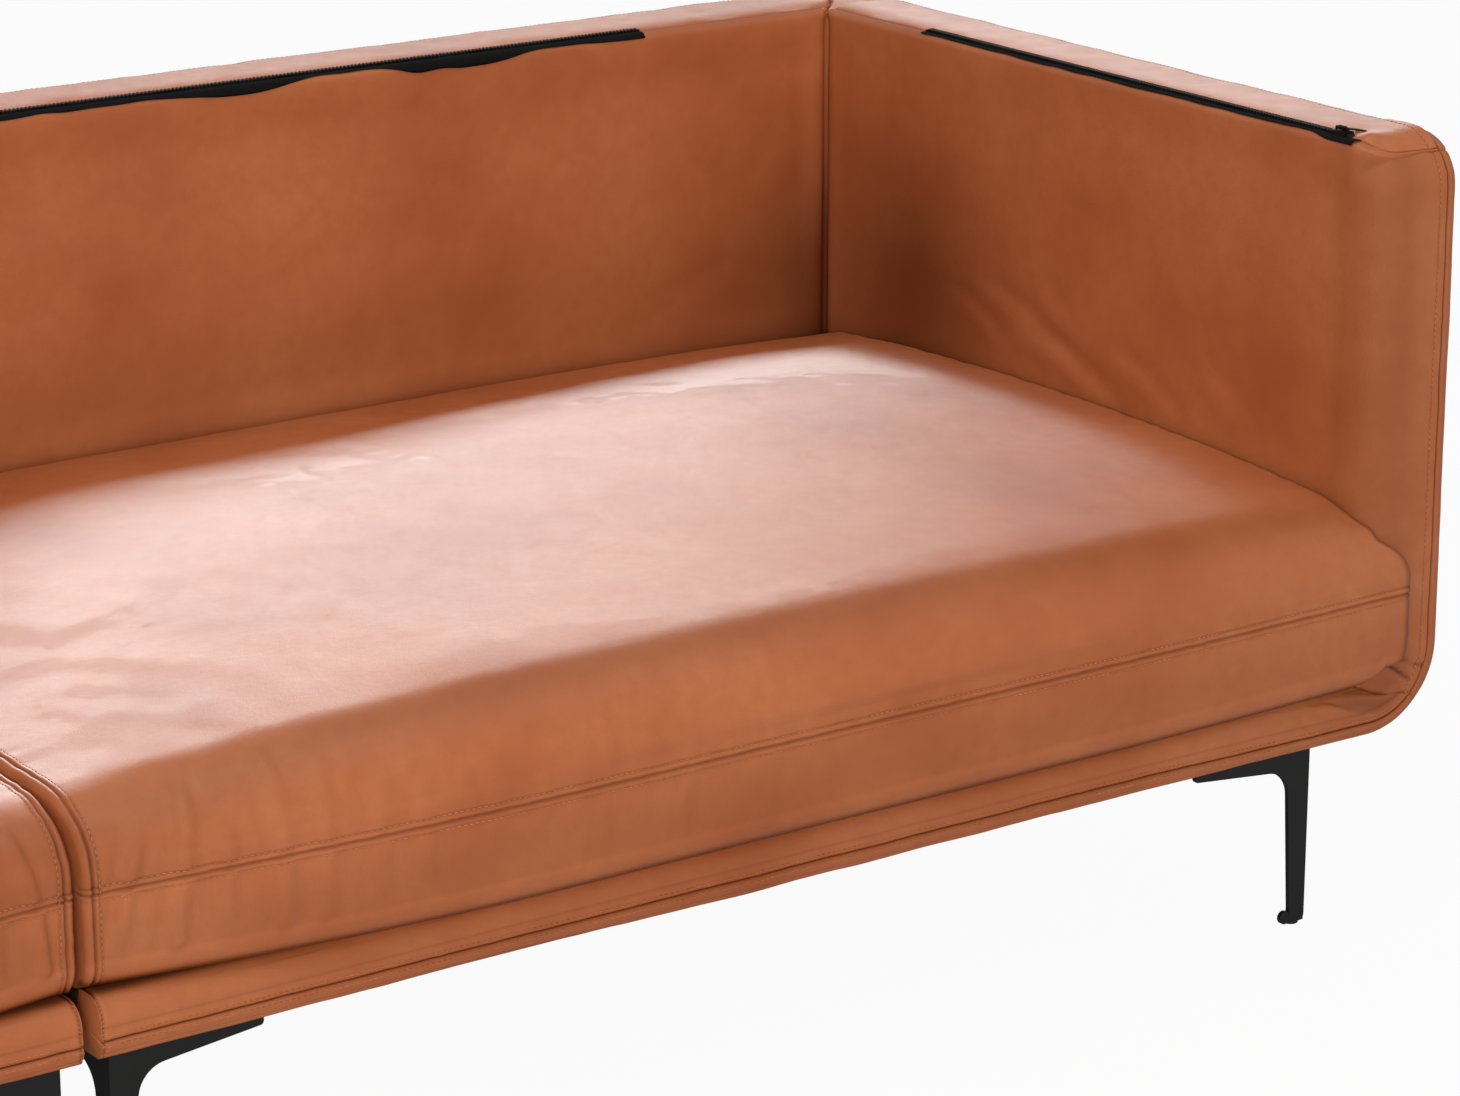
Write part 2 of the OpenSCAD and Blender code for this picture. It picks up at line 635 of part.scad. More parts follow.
module rear_outer_leg() at_leg(2) leg();
module rear_inner_leg() at_leg(3) leg();
module leg_glides_of_module() at_legs()
    translate([foot_w / 2, foot_w / 2, 0]) cylinder(h = glide_h, d = glide_d, $fn = round_n);

// Fasteners
screw_head_h = 3;
screw_head_d = 2 * screw_d;
nut_h_share = 0.8;
nut_w_share = 1.8;
washer_t = 1.6;
nut_n = 6;
washer_w_share = 2.6;
module leg_screws_of_module() at_screws() {
    cylinder(h = plate_t + screw_l, d = screw_d, $fn = screw_n);
    translate([0, 0, -screw_head_h]) cylinder(h = screw_head_h, d = screw_head_d, $fn = screw_n);
}
module joining_bolt() {
    seat = x_join + cover_t + rail_t;
    end = seat + washer_t + bolt_d;
    translate([0, 0, -end]) cylinder(h = 2 * end, d = bolt_d, $fn = small_n);
    for (s = [0, 1]) mirror([0, 0, s]) translate([0, 0, seat]) {
        cylinder(h = washer_t, d = washer_w_share * bolt_d, $fn = small_n);
        translate([0, 0, washer_t])
            cylinder(h = nut_h_share * bolt_d, d = nut_w_share * bolt_d, $fn = nut_n);
    }
}
module on_both() {
    left() children();
    right() children();
}
module leg_boards_of_both() on_both() leg_boards();
module leg_screws() color(steel) on_both() leg_screws_of_module();
module leg_glides() color(lining) on_both() leg_glides_of_module();
module joining_bolts() color(steel) at_bolts() joining_bolt();
module joining_spacers() color(black) at_bolts() difference() {
    translate([0, 0, -x_join]) cylinder(h = 2 * x_join, d = spacer_d, $fn = round_n);
    translate([0, 0, -over]) cylinder(h = 2 * over, d = bolt_d + 2 * hole_gap, $fn = small_n);
}

left() long_rails();  // long_rails_left
left() cross_rails();  // cross_rails_left
left() frame_posts();  // frame_posts_left
left() top_rails();  // top_rails_left
left() arm_panels();  // arm_panels_left
left() back_panels();  // back_panels_left
left() seat_webbing();  // seat_webbing_left
left() arm_foam();  // arm_foam_left
left() back_foam();  // back_foam_left
left() rail_foam();  // rail_foam_left
left() arm_outer_cover();  // arm_outer_cover_left
left() back_outer_cover();  // back_outer_cover_left
left() arm_inner_cover();  // arm_inner_cover_left
left() back_inner_cover();  // back_inner_cover_left
left() rail_cover();  // rail_cover_left
left() dust_cover();  // dust_cover_left
left() cushion_cover();  // cushion_cover_left
left() cushion_core();  // cushion_core_left
left() zip_tapes();  // zip_tapes_left
left() arm_zip_slider();  // arm_zip_slider_left
left() arm_zip_pull();  // arm_zip_pull_left
left() back_zip_slider();  // back_zip_slider_left
left() back_zip_pull();  // back_zip_pull_left
left() front_outer_leg();  // front_outer_leg_left
left() front_inner_leg();  // front_inner_leg_left
left() rear_outer_leg();  // rear_outer_leg_left
left() rear_inner_leg();  // rear_inner_leg_left
right() long_rails();  // long_rails_right
right() cross_rails();  // cross_rails_right
right() frame_posts();  // frame_posts_right
right() top_rails();  // top_rails_right
right() arm_panels();  // arm_panels_right
right() back_panels();  // back_panels_right
right() seat_webbing();  // seat_webbing_right
right() arm_foam();  // arm_foam_right
right() back_foam();  // back_foam_right
right() rail_foam();  // rail_foam_right
right() arm_outer_cover();  // arm_outer_cover_right
right() back_outer_cover();  // back_outer_cover_right
right() arm_inner_cover();  // arm_inner_cover_right
right() back_inner_cover();  // back_inner_cover_right
right() rail_cover();  // rail_cover_right
right() dust_cover();  // dust_cover_right
right() cushion_cover();  // cushion_cover_right
right() cushion_core();  // cushion_core_right
right() zip_tapes();  // zip_tapes_right
right() arm_zip_slider();  // arm_zip_slider_right
right() arm_zip_pull();  // arm_zip_pull_right
right() back_zip_slider();  // back_zip_slider_right
right() back_zip_pull();  // back_zip_pull_right
right() front_outer_leg();  // front_outer_leg_right
right() front_inner_leg();  // front_inner_leg_right
right() rear_outer_leg();  // rear_outer_leg_right
right() rear_inner_leg();  // rear_inner_leg_right
leg_boards_of_both();  // leg_boards
leg_screws();
leg_glides();
joining_bolts();
joining_spacers();
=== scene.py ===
"""Looks of the tan leather three-seater sofa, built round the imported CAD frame.

Shapes are worked out in millimetres for the right-hand module and written in metres. The left-hand
module is the mirror of the right-hand one, with its own creases.
"""

import math

import bpy
import numpy as np
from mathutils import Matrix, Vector

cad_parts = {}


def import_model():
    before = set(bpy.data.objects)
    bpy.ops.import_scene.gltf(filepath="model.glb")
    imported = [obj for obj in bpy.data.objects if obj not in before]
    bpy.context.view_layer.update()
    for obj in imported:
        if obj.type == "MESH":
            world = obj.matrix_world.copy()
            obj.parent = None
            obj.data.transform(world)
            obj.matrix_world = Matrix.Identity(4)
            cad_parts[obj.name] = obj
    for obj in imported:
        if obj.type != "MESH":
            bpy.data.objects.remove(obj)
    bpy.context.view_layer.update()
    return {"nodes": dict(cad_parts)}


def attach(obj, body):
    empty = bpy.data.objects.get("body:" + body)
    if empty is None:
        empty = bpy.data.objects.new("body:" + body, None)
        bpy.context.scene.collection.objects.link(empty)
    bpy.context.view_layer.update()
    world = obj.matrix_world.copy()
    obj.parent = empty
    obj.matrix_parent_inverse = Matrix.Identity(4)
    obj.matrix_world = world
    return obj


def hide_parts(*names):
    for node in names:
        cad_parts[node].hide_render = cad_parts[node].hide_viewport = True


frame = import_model()
cad_nodes = frame["nodes"]

MM = 0.001
SIDES = (("right", 1), ("left", -1))
# Each module has creases of its own
SEEDS = {"right": {"arm": 11, "back": 23, "cushion": 5, "arm_zip": 31, "back_zip": 41},
         "left": {"arm": 47, "back": 61, "cushion": 83, "arm_zip": 37, "back_zip": 43}}

# Main planes of the right-hand module, as in part.scad
X_JOIN, X_ARM, X_BASE, X_OUT = 5.0, 1254.0, 1256.0, 1350.0
Y_FRONT, Y_BACK, Y_REAR = -437.5, 360.5, 462.5
Z_BASE, Z_DECK, Z_TOP = 170.0, 218.0, 704.0
ARM_W = X_OUT - X_ARM
BACK_W = Y_REAR - Y_BACK
ARM_D = Y_BACK - Y_FRONT
BASE_H = Z_DECK - Z_BASE
ARM_H = Z_TOP - Z_DECK
TUCK_D = 34.0
RAIL_D = 52.0
LEDGE_Y = 376.5

# Radii of the covers
CORNER_R, TOP_R, NOSE_R, EDGE_R, INNER_R, REAR_R = 77.0, 45.0, 42.0, 8.0, 6.0, 12.0
ROLL_TOP_R, ROLL_LOW_R = 21.0, 8.0

# Seams: distances in from the outer faces
SEAM, RAIL_SEAM, BAND = 12.0, 15.0, 12.0
# Distance of a row of stitches from its seam, and width of a felled seam's lip
STITCH_OFF, LIP = 10.0, 4.6

# Thickness of the leather, and of the thinner leather of the rail's end
LEATHER_T, CAP_T = 1.4, 1.2
# A distance that lies outside every seam's reach
FAR = 99.0

# Zips: start and end, from the front along the arm and from the middle along the back
ARM_ZIP, BACK_ZIP = (48.0, 648.0), (157.0, 1037.0)
# Where the pulls rest on the bands, and the fold beside the arm's pull, as (X, Y)
ARM_PULL_AT, BACK_PULL_AT, ARM_BUNCH_AT = (1281, -378), (169, 388), (1276, -402)

# Seat cushion
CUSH_X0, CUSH_X1, CUSH_Y1, CUSH_Z0 = 1.2, 1253.0, 359.5, 218.3
CUSH_EDGE, CROWN, PROUD, END_SET = 362.0, 46.0, 25.0, 13.0
LOW_R, BACK_R, NOSE_D, NOSE_H, CUSH_SEAM_Z = 24.0, 34.0, 70.0, 50.0, 297.0
DOME, LOBE, CUSH_CORNER_R = 2.4, 2.5, 42.0
# How far the inner faces above the cushion lie back, so that it lifts out freely, and how far from
# the inner corner they reach that depth
BACK_ROOM, ARM_ROOM, ROOM_RUN = 5.2, 4.0, 30.0


# ---------------------------------------------------------------- numbers


def steps(start, end, size):
    """Even steps from start to end, about size apart, with both ends."""
    n = max(1, int(round(abs(end - start) / size)))
    return list(np.linspace(start, end, n + 1))


def joined(*parts):
    """One rising list of the given lists, without repeats."""
    return np.array(sorted({round(float(v), 4) for part in parts for v in part}))


def near(centre, spread):
    """Closely set values round a seam."""
    return [centre + k * d for d in spread for k in (-1, 1)] + [centre]


def smooth(t):
    """Eased rise from 0 to 1 while t goes from 0 to 1."""
    t = np.clip(t, 0.0, 1.0)
    return t * t * (3 - 2 * t)


def bump(d, width):
    """1 where d is 0, falling to nothing over the width."""
    return np.exp(-((d / width) ** 2))


def noise(points, size, seed):
    """Smooth noise from -1 to 1 over points, with features about size across."""
    lattice = np.random.RandomState(seed).uniform(-1, 1, (16, 16, 16))
    q = np.asarray(points, float) / np.asarray(size, float) + 100.0 + seed
    low = np.floor(q).astype(int)
    f = q - low
    f = f * f * (3 - 2 * f)
    total = 0
    for corner in range(8):
        bits = np.array([corner & 1, corner >> 1 & 1, corner >> 2 & 1])
        cell = (low + bits) % 16
        weight = np.prod(np.where(bits, f, 1 - f), axis=1)
        total = total + weight * lattice[cell[:, 0], cell[:, 1], cell[:, 2]]
    return total * 1.6


def line_noise(along, size, seed):
    """Smooth noise along a line."""
    flat = np.stack([along, np.zeros_like(along), np.zeros_like(along)], axis=1)
    return noise(flat, size, seed)


def soften(u, v, ru, rv=None):
    """Rounds an edge: u and v are distances in from its two faces, ru and rv its radii."""
    ru = np.maximum(ru, 1e-6)
    rv = ru if rv is None else np.maximum(rv, 1e-6)
    p, q = u / ru, v / rv
    inside = (p < 1) & (q < 1)
    dp, dq = p - 1, q - 1
    ratio = (1 - np.minimum(p, q)) / np.maximum(np.hypot(dp, dq), 1e-9)
    return np.where(inside, (1 + dp * ratio) * ru, u), np.where(inside, (1 + dq * ratio) * rv, v)


def weld(*grids):
    """The different parameter rows of some grids, and each grid's indices into them."""
    stacked = np.concatenate([grid.reshape(-1, 3) for grid in grids])
    key = np.round(stacked / 1e-3).astype(np.int64)
    _, first, inverse = np.unique(key, axis=0, return_index=True, return_inverse=True)
    cuts = np.cumsum([grid.shape[0] * grid.shape[1] for grid in grids])[:-1]
    parts = np.split(inverse.reshape(-1), cuts)
    return stacked[first], [part.reshape(grid.shape[:2]) for part, grid in zip(parts, grids)]


def halfway(values):
    """Middles of the steps between neighbouring values."""
    return (values[:-1] + values[1:]) / 2


def nearest(values, target):
    """Index of the value next to the target."""
    return int(np.argmin(np.abs(values - target)))


def around(points, centre, reach):
    """1 at the centre, given as (X, Y), falling to nothing over the reach along X and Y."""
    return np.exp(-sum(((points[:, c] - centre[c]) / reach[c]) ** 2 for c in (0, 1)))


def grid_quads(index, closed=False):
    """Quads between the rows and columns of a grid of indices."""
    if closed:
        index = np.concatenate([index, index[:, :1]], axis=1)
    return np.stack([index[:-1, :-1], index[1:, :-1], index[1:, 1:], index[:-1, 1:]], axis=-1)


def param_grid(*parts):
    """Grid of parameters, from parts that broadcast over its rows and columns."""
    return np.stack(np.broadcast_arrays(*parts), axis=-1).astype(float)


def normals(points, quads):
    """Unit normals at the points, from the quads round them."""
    n = np.cross(points[quads[:, 2]] - points[quads[:, 0]], points[quads[:, 3]] - points[quads[:, 1]])
    out = np.zeros_like(points)
    for c in range(4):
        np.add.at(out, quads[:, c], n)
    return out / np.maximum(np.linalg.norm(out, axis=1, keepdims=True), 1e-12)


def joint_quads(*grids):
    """One list of the quads of some grids."""
    return np.concatenate([grid.reshape(-1, 4) for grid in grids])


def facing(points, probe, axis, way, *grids):
    """The grids of quads, turned over if the probe's normal points against the way along the axis."""
    if way * normals(points, joint_quads(*grids))[probe, axis] < 0:
        return [grid[..., ::-1] for grid in grids]
    return list(grids)


def fan(rings, pole):
    """Faces between closed rings of indices, and from the last of them to the pole."""
    last = rings[-1]
    return [*joint_quads(grid_quads(rings, True)), *((a, pole, b) for a, b in zip(last, np.roll(last, -1)))]


# ---------------------------------------------------------------- pieces


def build_object(name, points, faces, material, k=1, shade=None, smooth_faces=True):
    """A mesh object from points in millimetres; k = -1 mirrors it for the left-hand module."""
    p = np.array(points, float) * MM
    p[:, 0] *= k
    faces = [tuple(int(i) for i in (f if k > 0 else f[::-1])) for f in faces]
    mesh = bpy.data.meshes.new(name)
    mesh.from_pydata(p.tolist(), [], faces)
    mesh.validate()
    if shade is not None:
        layer = mesh.attributes.new("shade", "FLOAT", "POINT")
        layer.data.foreach_set("value", np.asarray(shade, np.float32))
    if smooth_faces:
        mesh.shade_smooth()
    mesh.materials.append(material)
    obj = bpy.data.objects.new(name, mesh)
    bpy.context.scene.collection.objects.link(obj)
    return obj


def piece(name, points, faces, material, k, body, slot, replaced=(), shade=None, smooth_faces=True):
    """A visible piece that rides a body and stands for CAD nodes."""
    obj = build_object(name, points, faces, material, k, shade, smooth_faces)
    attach(obj, body)
    if replaced:
        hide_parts(*replaced)
    return obj


def part_of(points, quads, shade):
    """The points, quads and shade that the quads use."""
    used, inverse = np.unique(quads, return_inverse=True)
    return points[used], inverse.reshape(quads.shape), shade[used]


def cut_degenerate(quads):
    """Quads as triangles where two of their corners are the same."""
    out = []
    for q in quads:
        kept = [int(q[i]) for i in range(4) if q[i] != q[i - 1]]
        if len(kept) > 2:
            out.append(tuple(kept))
    return out


def thicken(obj, depth):
    """Gives a piece's sheet its thickness, inwards."""
    mod = obj.modifiers.new("leather", "SOLIDIFY")
    mod.thickness = depth * MM
    mod.offset = -1
    mod.use_even_offset = False


def leather_pieces(side, k, table, made, points, shade):
    """The shell's pieces of table, which gives each kind's name and the CAD nodes it stands for."""
    for kind, (name, nodes) in table.items():
        p, q, tone = part_of(points, made[kind], shade)
        replaced = [f"{node}_{side}" for node in nodes]
        obj = piece(f"{name}_{side}", p, cut_degenerate(q), LEATHER, k, "frame", "leather", replaced,
                    tone)
        thicken(obj, LEATHER_T)
        any(node.endswith("foam") for node in nodes)


def thread_piece(name, k, body, rows):
    """One piece of the given rows of stitches."""
    piece(name, *merged(rows), THREAD, k, body, "leather")


# Stitch: radius at each ring from end to end, as shares
STITCH_RINGS = ((-0.5, 0.35), (-0.36, 0.9), (0.0, 1.0), (0.36, 0.9), (0.5, 0.35))
STITCH_SIDES = 6


def stitch_row(path, out, pitch=5.2, length=3.3, radius=0.55, sink=0.1, slant=0.0):
    """Points and faces of a row of thread stitches along a path with outward directions."""
    gaps = np.linalg.norm(np.diff(path, axis=0), axis=1)
    along = np.concatenate([[0], np.cumsum(gaps)])
    count = int((along[-1] - length) / pitch)
    if count < 1:
        return np.zeros((0, 3)), []
    at = length / 2 + pitch * np.arange(count)

    def pick(values, where):
        return np.stack([np.interp(where, along, values[:, c]) for c in range(3)], axis=1)

    centre = pick(path, at)
    head = pick(path, at + 1.0) - pick(path, at - 1.0)
    head /= np.maximum(np.linalg.norm(head, axis=1, keepdims=True), 1e-9)
    up = pick(out, at)
    up -= head * np.sum(up * head, axis=1, keepdims=True)
    up /= np.maximum(np.linalg.norm(up, axis=1, keepdims=True), 1e-9)
    side = np.cross(head, up)
    head = head * math.cos(slant) + side * math.sin(slant)
    side = np.cross(head, up)
    centre = centre + up * (radius * (0.75 - sink))
    points = []
    for place, size in STITCH_RINGS:
        for s in range(STITCH_SIDES):
            turn = 2 * math.pi * s / STITCH_SIDES
            arch = -radius * 0.7 * (2 * place) ** 2
            points.append(centre + head * place * length + up * arch
                          + (side * math.cos(turn) + up * math.sin(turn)) * radius * size)
    block = np.stack(points, axis=1)
    n = len(STITCH_RINGS) * STITCH_SIDES
    faces = []
    for r in range(len(STITCH_RINGS) - 1):
        for s in range(STITCH_SIDES):
            t = (s + 1) % STITCH_SIDES
            a, b = r * STITCH_SIDES, (r + 1) * STITCH_SIDES
            faces.append((a + s, a + t, b + t, b + s))
    faces.append(tuple(range(STITCH_SIDES))[::-1])
    faces.append(tuple(range(n - STITCH_SIDES, n)))
    every = [tuple(i + n * m for i in f) for m in range(count) for f in faces]
    return block.reshape(-1, 3), every


def merged(parts):
    """One list of points and one of faces from several."""
    points, faces, base = [], [], 0
    for p, f in parts:
        if len(p) == 0:
            continue
        points.append(p)
        faces += [tuple(i + base for i in face) for face in f]
        base += len(p)
    return np.concatenate(points), faces


def brick(lo, hi):
    """Points and faces of a block with chamfered long edges, for a tooth or a stop."""
    lo, hi = np.array(lo, float), np.array(hi, float)
    c = 0.22 * min(hi - lo)
    x0, y0, z0 = lo
    x1, y1, z1 = hi
    ring = [(x0 + c, z0), (x1 - c, z0), (x1, z0 + c), (x1, z1 - c), (x1 - c, z1), (x0 + c, z1),
            (x0, z1 - c), (x0, z0 + c)]
    points = [(x, y0, z) for x, z in ring] + [(x, y1, z) for x, z in ring]
    n = len(ring)
    faces = [(i, (i + 1) % n, n + (i + 1) % n, n + i) for i in range(n)]
    faces += [tuple(range(n))[::-1], tuple(range(n, 2 * n))]
    return np.array(points), faces


# ---------------------------------------------------------------- materials


class Paint:
    """Builds one procedural material's node tree."""

    def __init__(self, name):
        self.material = bpy.data.materials.new(name)
        self.material.use_nodes = True
        self.tree = self.material.node_tree
        self.shader = self.tree.nodes["Principled BSDF"]
        self.coords = self.tree.nodes.new("ShaderNodeTexCoord").outputs["Object"]

    def node(self, kind, **values):
        n = self.tree.nodes.new(kind)
        for key, value in values.items():
            if hasattr(n, key):
                setattr(n, key, value)
            else:
                n.inputs[key.replace("_", " ")].default_value = value
        return n

    def link(self, a, b):
        self.tree.links.new(a, b)

    def noise(self, scale, detail=3.0, rough=0.55, vector=None):
        n = self.node("ShaderNodeTexNoise", Scale=scale, Detail=detail, Roughness=rough)
        self.link(vector or self.coords, n.inputs["Vector"])
        return n.outputs["Fac"]

    def cells(self, scale, feature="DISTANCE_TO_EDGE", vector=None):
        n = self.node("ShaderNodeTexVoronoi", Scale=scale)
        n.feature = feature
        self.link(vector or self.coords, n.inputs["Vector"])
        return n.outputs["Distance"]

    def stretched(self, size):
        n = self.node("ShaderNodeMapping")
        n.inputs["Scale"].default_value = size
        self.link(self.coords, n.inputs["Vector"])
        return n.outputs["Vector"]

    def ramp(self, fac, stops):
        n = self.node("ShaderNodeValToRGB")
        while len(n.color_ramp.elements) < len(stops):
            n.color_ramp.elements.new(0.5)
        for element, (place, colour) in zip(n.color_ramp.elements, stops):
            element.position = place
            element.color = (*colour, 1.0)
        self.link(fac, n.inputs["Fac"])
        return n.outputs["Color"]

    def span(self, fac, low, high, start=0.0, end=1.0):
        n = self.node("ShaderNodeMapRange")
        n.inputs["From Min"].default_value = start
        n.inputs["From Max"].default_value = end
        n.inputs["To Min"].default_value = low
        n.inputs["To Max"].default_value = high
        self.link(fac, n.inputs["Value"])
        return n.outputs["Result"]

    def maths(self, kind, a, b):
        n = self.node("ShaderNodeMath", operation=kind)
        for i, value in enumerate((a, b)):
            if isinstance(value, (int, float)):
                n.inputs[i].default_value = value
            else:
                self.link(value, n.inputs[i])
        return n.outputs["Value"]

    def mix(self, fac, a, b, kind="MIX"):
        n = self.node("ShaderNodeMix", data_type="RGBA", blend_type=kind)
        for value, socket in ((fac, n.inputs[0]), (a, n.inputs[6]), (b, n.inputs[7])):
            if isinstance(value, (int, float)):
                socket.default_value = value
            elif isinstance(value, tuple):
                socket.default_value = (*value, 1.0)
            else:
                self.link(value, socket)
        return n.outputs[2]

    def attribute(self, name):
        n = self.node("ShaderNodeAttribute")
        n.attribute_name = name
        return n.outputs["Fac"]

    def bump(self, height, strength, distance, after=None):
        n = self.node("ShaderNodeBump", Strength=strength, Distance=distance)
        self.link(height, n.inputs["Height"])
        if after is not None:
            self.link(after, n.inputs["Normal"])
        return n.outputs["Normal"]

    def done(self, colour, rough, normal=None, **constants):
        for value, name in ((colour, "Base Color"), (rough, "Roughness")):
            if isinstance(value, (int, float)):
                self.shader.inputs[name].default_value = value
            else:
                self.link(value, self.shader.inputs[name])
        if normal is not None:
            self.link(normal, self.shader.inputs["Normal"])
        for key, value in constants.items():
            self.shader.inputs[key.replace("_", " ")].default_value = value
        return self.material


def srgb(r, g, b):
    """A colour given in 0-255 display values, as Blender's linear one."""
    out = []
    for v in (r, g, b):
        v = v / 255
        out.append(v / 12.92 if v <= 0.04045 else ((v + 0.055) / 1.055) ** 2.4)
    return tuple(out)


TAN = srgb(184, 105, 62)
TAN_PALE = srgb(193, 116, 72)
TAN_DEEP = srgb(168, 90, 50)
# Dark tone for the seams' lines and for painted shade in corners, creases and under the cushion
TAN_SEAM_AND_PAINTED_SHADE = srgb(92, 40, 16)


def leather_material():
    m = Paint("leather")
    tone = m.noise(5.5, 4.0)
    mottle = m.noise(60.0, 4.0, 0.6)
    colour = m.ramp(tone, ((0.3, TAN_DEEP), (0.5, TAN), (0.72, TAN_PALE)))
    colour = m.mix(m.span(mottle, 0.0, 0.35, 0.35, 0.75), colour, TAN_DEEP)
    grain = m.cells(820.0)
    pores = m.noise(2600.0, 2.0)
    colour = m.mix(m.span(grain, 0.22, 0.0, 0.0, 0.12), colour, TAN_DEEP)
    # the shade attribute darkens the seams and paints shade where the light falls off
    shade = m.attribute("shade")
    colour = m.mix(m.span(shade, 0.0, 1.0, 0.0, 1.0), colour, TAN_SEAM_AND_PAINTED_SHADE)
    rough = m.span(mottle, 0.35, 0.41, 0.3, 0.7)
    height = m.maths("ADD", m.span(grain, 0.0, 1.0, 0.0, 0.25), m.maths("MULTIPLY", pores, 0.25))
    soft = m.bump(m.noise(170.0, 3.0), 0.12, 0.0012)
    return m.done(colour, rough, m.bump(height, 0.22, 0.0004, soft), IOR=1.5, Specular_IOR_Level=0.36)


def thread_material():
    m = Paint("thread")
    twist = m.node("ShaderNodeTexWave", Scale=900.0, Distortion=1.0)
    m.link(m.coords, twist.inputs["Vector"])
    colour = m.ramp(m.noise(40.0), ((0.35, srgb(176, 100, 60)), (0.65, srgb(206, 130, 86))))
    return m.done(colour, 0.8, m.bump(twist.outputs["Fac"], 0.4, 0.0002), Specular_IOR_Level=0.12)


def weave_material(name, dark, light, scale, rough, tilt=(1.0, 1.0, 1.0)):
    m = Paint(name)
    vector = m.stretched(tilt)
    warp = m.node("ShaderNodeTexWave", Scale=scale, Distortion=0.3)
    warp.bands_direction = "X"
    weft = m.node("ShaderNodeTexWave", Scale=scale, Distortion=0.3)
    weft.bands_direction = "Y"
    for wave in (warp, weft):
        m.link(vector, wave.inputs["Vector"])
    height = m.maths("MULTIPLY", warp.outputs["Fac"], weft.outputs["Fac"])
    fuzz = m.noise(400.0, 3.0)
    colour = m.mix(height, dark, light)
    colour = m.mix(m.span(fuzz, 0.0, 0.3, 0.35, 0.7), colour, dark)
    return m.done(colour, rough, m.bump(height, 0.5, 0.0006), Specular_IOR_Level=0.25)


def metal_material(name, low, high, scale, rough, metallic, bump_size):
    m = Paint(name)
    grain = m.noise(scale, 3.0)
    smear = m.noise(24.0, 3.0)
    colour = m.ramp(smear, ((0.35, low), (0.65, high)))
    surface = m.span(smear, rough - 0.06, rough + 0.08, 0.3, 0.7)
    return m.done(colour, surface, m.bump(grain, 0.25, bump_size), Metallic=metallic)


def wood_material(name, dark, light, along, ring):
    m = Paint(name)
    vector = m.stretched(along)
    fibre = m.noise(ring * 4, 5.0, 0.6, vector)
    bands = m.node("ShaderNodeTexWave", Scale=ring, Distortion=6.0, Detail=3.0)
    m.link(vector, bands.inputs["Vector"])
    colour = m.mix(bands.outputs["Fac"], dark, light)
    colour = m.mix(m.span(fibre, 0.0, 0.5, 0.35, 0.7), colour, dark)
    return m.done(colour, m.span(fibre, 0.55, 0.75), m.bump(fibre, 0.3, 0.0005))


def board_material():
    m = Paint("board")
    flakes = m.cells(160.0, "F1")
    colour = m.ramp(flakes, ((0.1, srgb(196, 160, 112)), (0.5, srgb(168, 128, 84)),
                             (0.9, srgb(132, 96, 60))))
    return m.done(colour, 0.72, m.bump(flakes, 0.3, 0.0005))


MATERIALS = {
    "leather": leather_material(),
    "lining": weave_material("lining", srgb(22, 21, 21), srgb(52, 50, 49), 480.0, 0.9),
    # the timber is drawn dark so that the gap between the modules reads as shade
    "timber": wood_material("timber", srgb(44, 30, 20), srgb(84, 58, 38), (1.0, 6.0, 6.0), 9.0),
    "board": board_material(),
    "webbing": weave_material("webbing", srgb(26, 24, 23), srgb(92, 84, 76), 260.0, 0.85),
    "zip": weave_material("zip", srgb(6, 6, 7), srgb(24, 23, 24), 700.0, 0.85),
    "zip_metal": metal_material("zip_metal", srgb(20, 20, 22), srgb(44, 44, 48), 900.0, 0.34, 0.75,
                                0.0002),
    "leg_metal": metal_material("leg_metal", srgb(13, 14, 14), srgb(22, 23, 24), 1600.0, 0.5, 0.1,
                                0.0003),
    "glide": metal_material("glide", srgb(30, 30, 31), srgb(46, 46, 48), 600.0, 0.6, 0.0, 0.0003),
    "steel": metal_material("steel", srgb(150, 152, 156), srgb(190, 192, 196), 700.0, 0.32, 1.0,
                            0.0002),
    "rubber": metal_material("rubber", srgb(20, 20, 20), srgb(34, 34, 34), 500.0, 0.85, 0.0, 0.0004),
}
THREAD = thread_material()
TEETH = metal_material("zip_teeth", srgb(16, 15, 16), srgb(38, 36, 37), 500.0, 0.42, 0.3, 0.0002)
LEATHER = MATERIALS["leather"]


# ---------------------------------------------------------------- arm and front rail

# Grid lines lie close together at the seams and at the rounded edges: the insets from the outer
# side, the depths from the front, and the rows, which are negative along the rail and count up the arm
SEAM_SPREAD = (0.7, 1.5, 2.6, 4.0, 5.8)
INSETS = joined(near(SEAM, SEAM_SPREAD), near(SEAM + STITCH_OFF, (0.8, 1.8)), near(SEAM + 3, (0.5,)),
                [0, 2, 4.5], steps(26, 78, 4.5), near(ARM_W - BAND, (0.6, 1.3, 2.2, 3.4)),
                [90, 92, 93.5, 95, ARM_W])
DEPTHS = joined([0, 1.4, 3, 5, 7], near(BAND, (0.7, 1.5, 2.6)), [17, 20, 24, 28, TUCK_D, 38, 42, 47],
                [RAIL_D], steps(58, 780, 8), [784, 788, 791, 793.5, 795.5, 797, ARM_D])
MITRE_RUN = 60.0
UNDER_T = MITRE_RUN * (X_OUT - X_BASE) / (X_OUT - X_ARM + MITRE_RUN)
RAIL_LEN = X_ARM - 7.6
ROWS = joined([-v for v in joined(steps(0, MITRE_RUN, 2.6), [UNDER_T], steps(MITRE_RUN, 1232, 7),
                                  near(RAIL_LEN - 2, (0.7, 1.4)), near(RAIL_LEN - 5, (0.8,)),
                                  [1235, 1239, RAIL_LEN])],
              steps(0, MITRE_RUN, 2.8), steps(MITRE_RUN, 436, 7), steps(438, 480, 2.6),
              [482, 484, 485.2, ARM_H])

CAP_DOME = 3.4
# How much nearer to the front the band's front seam lies at the outer side, and how deep that is felt
BAND_SLANT, SLANT_RUN = 7.5, 60.0
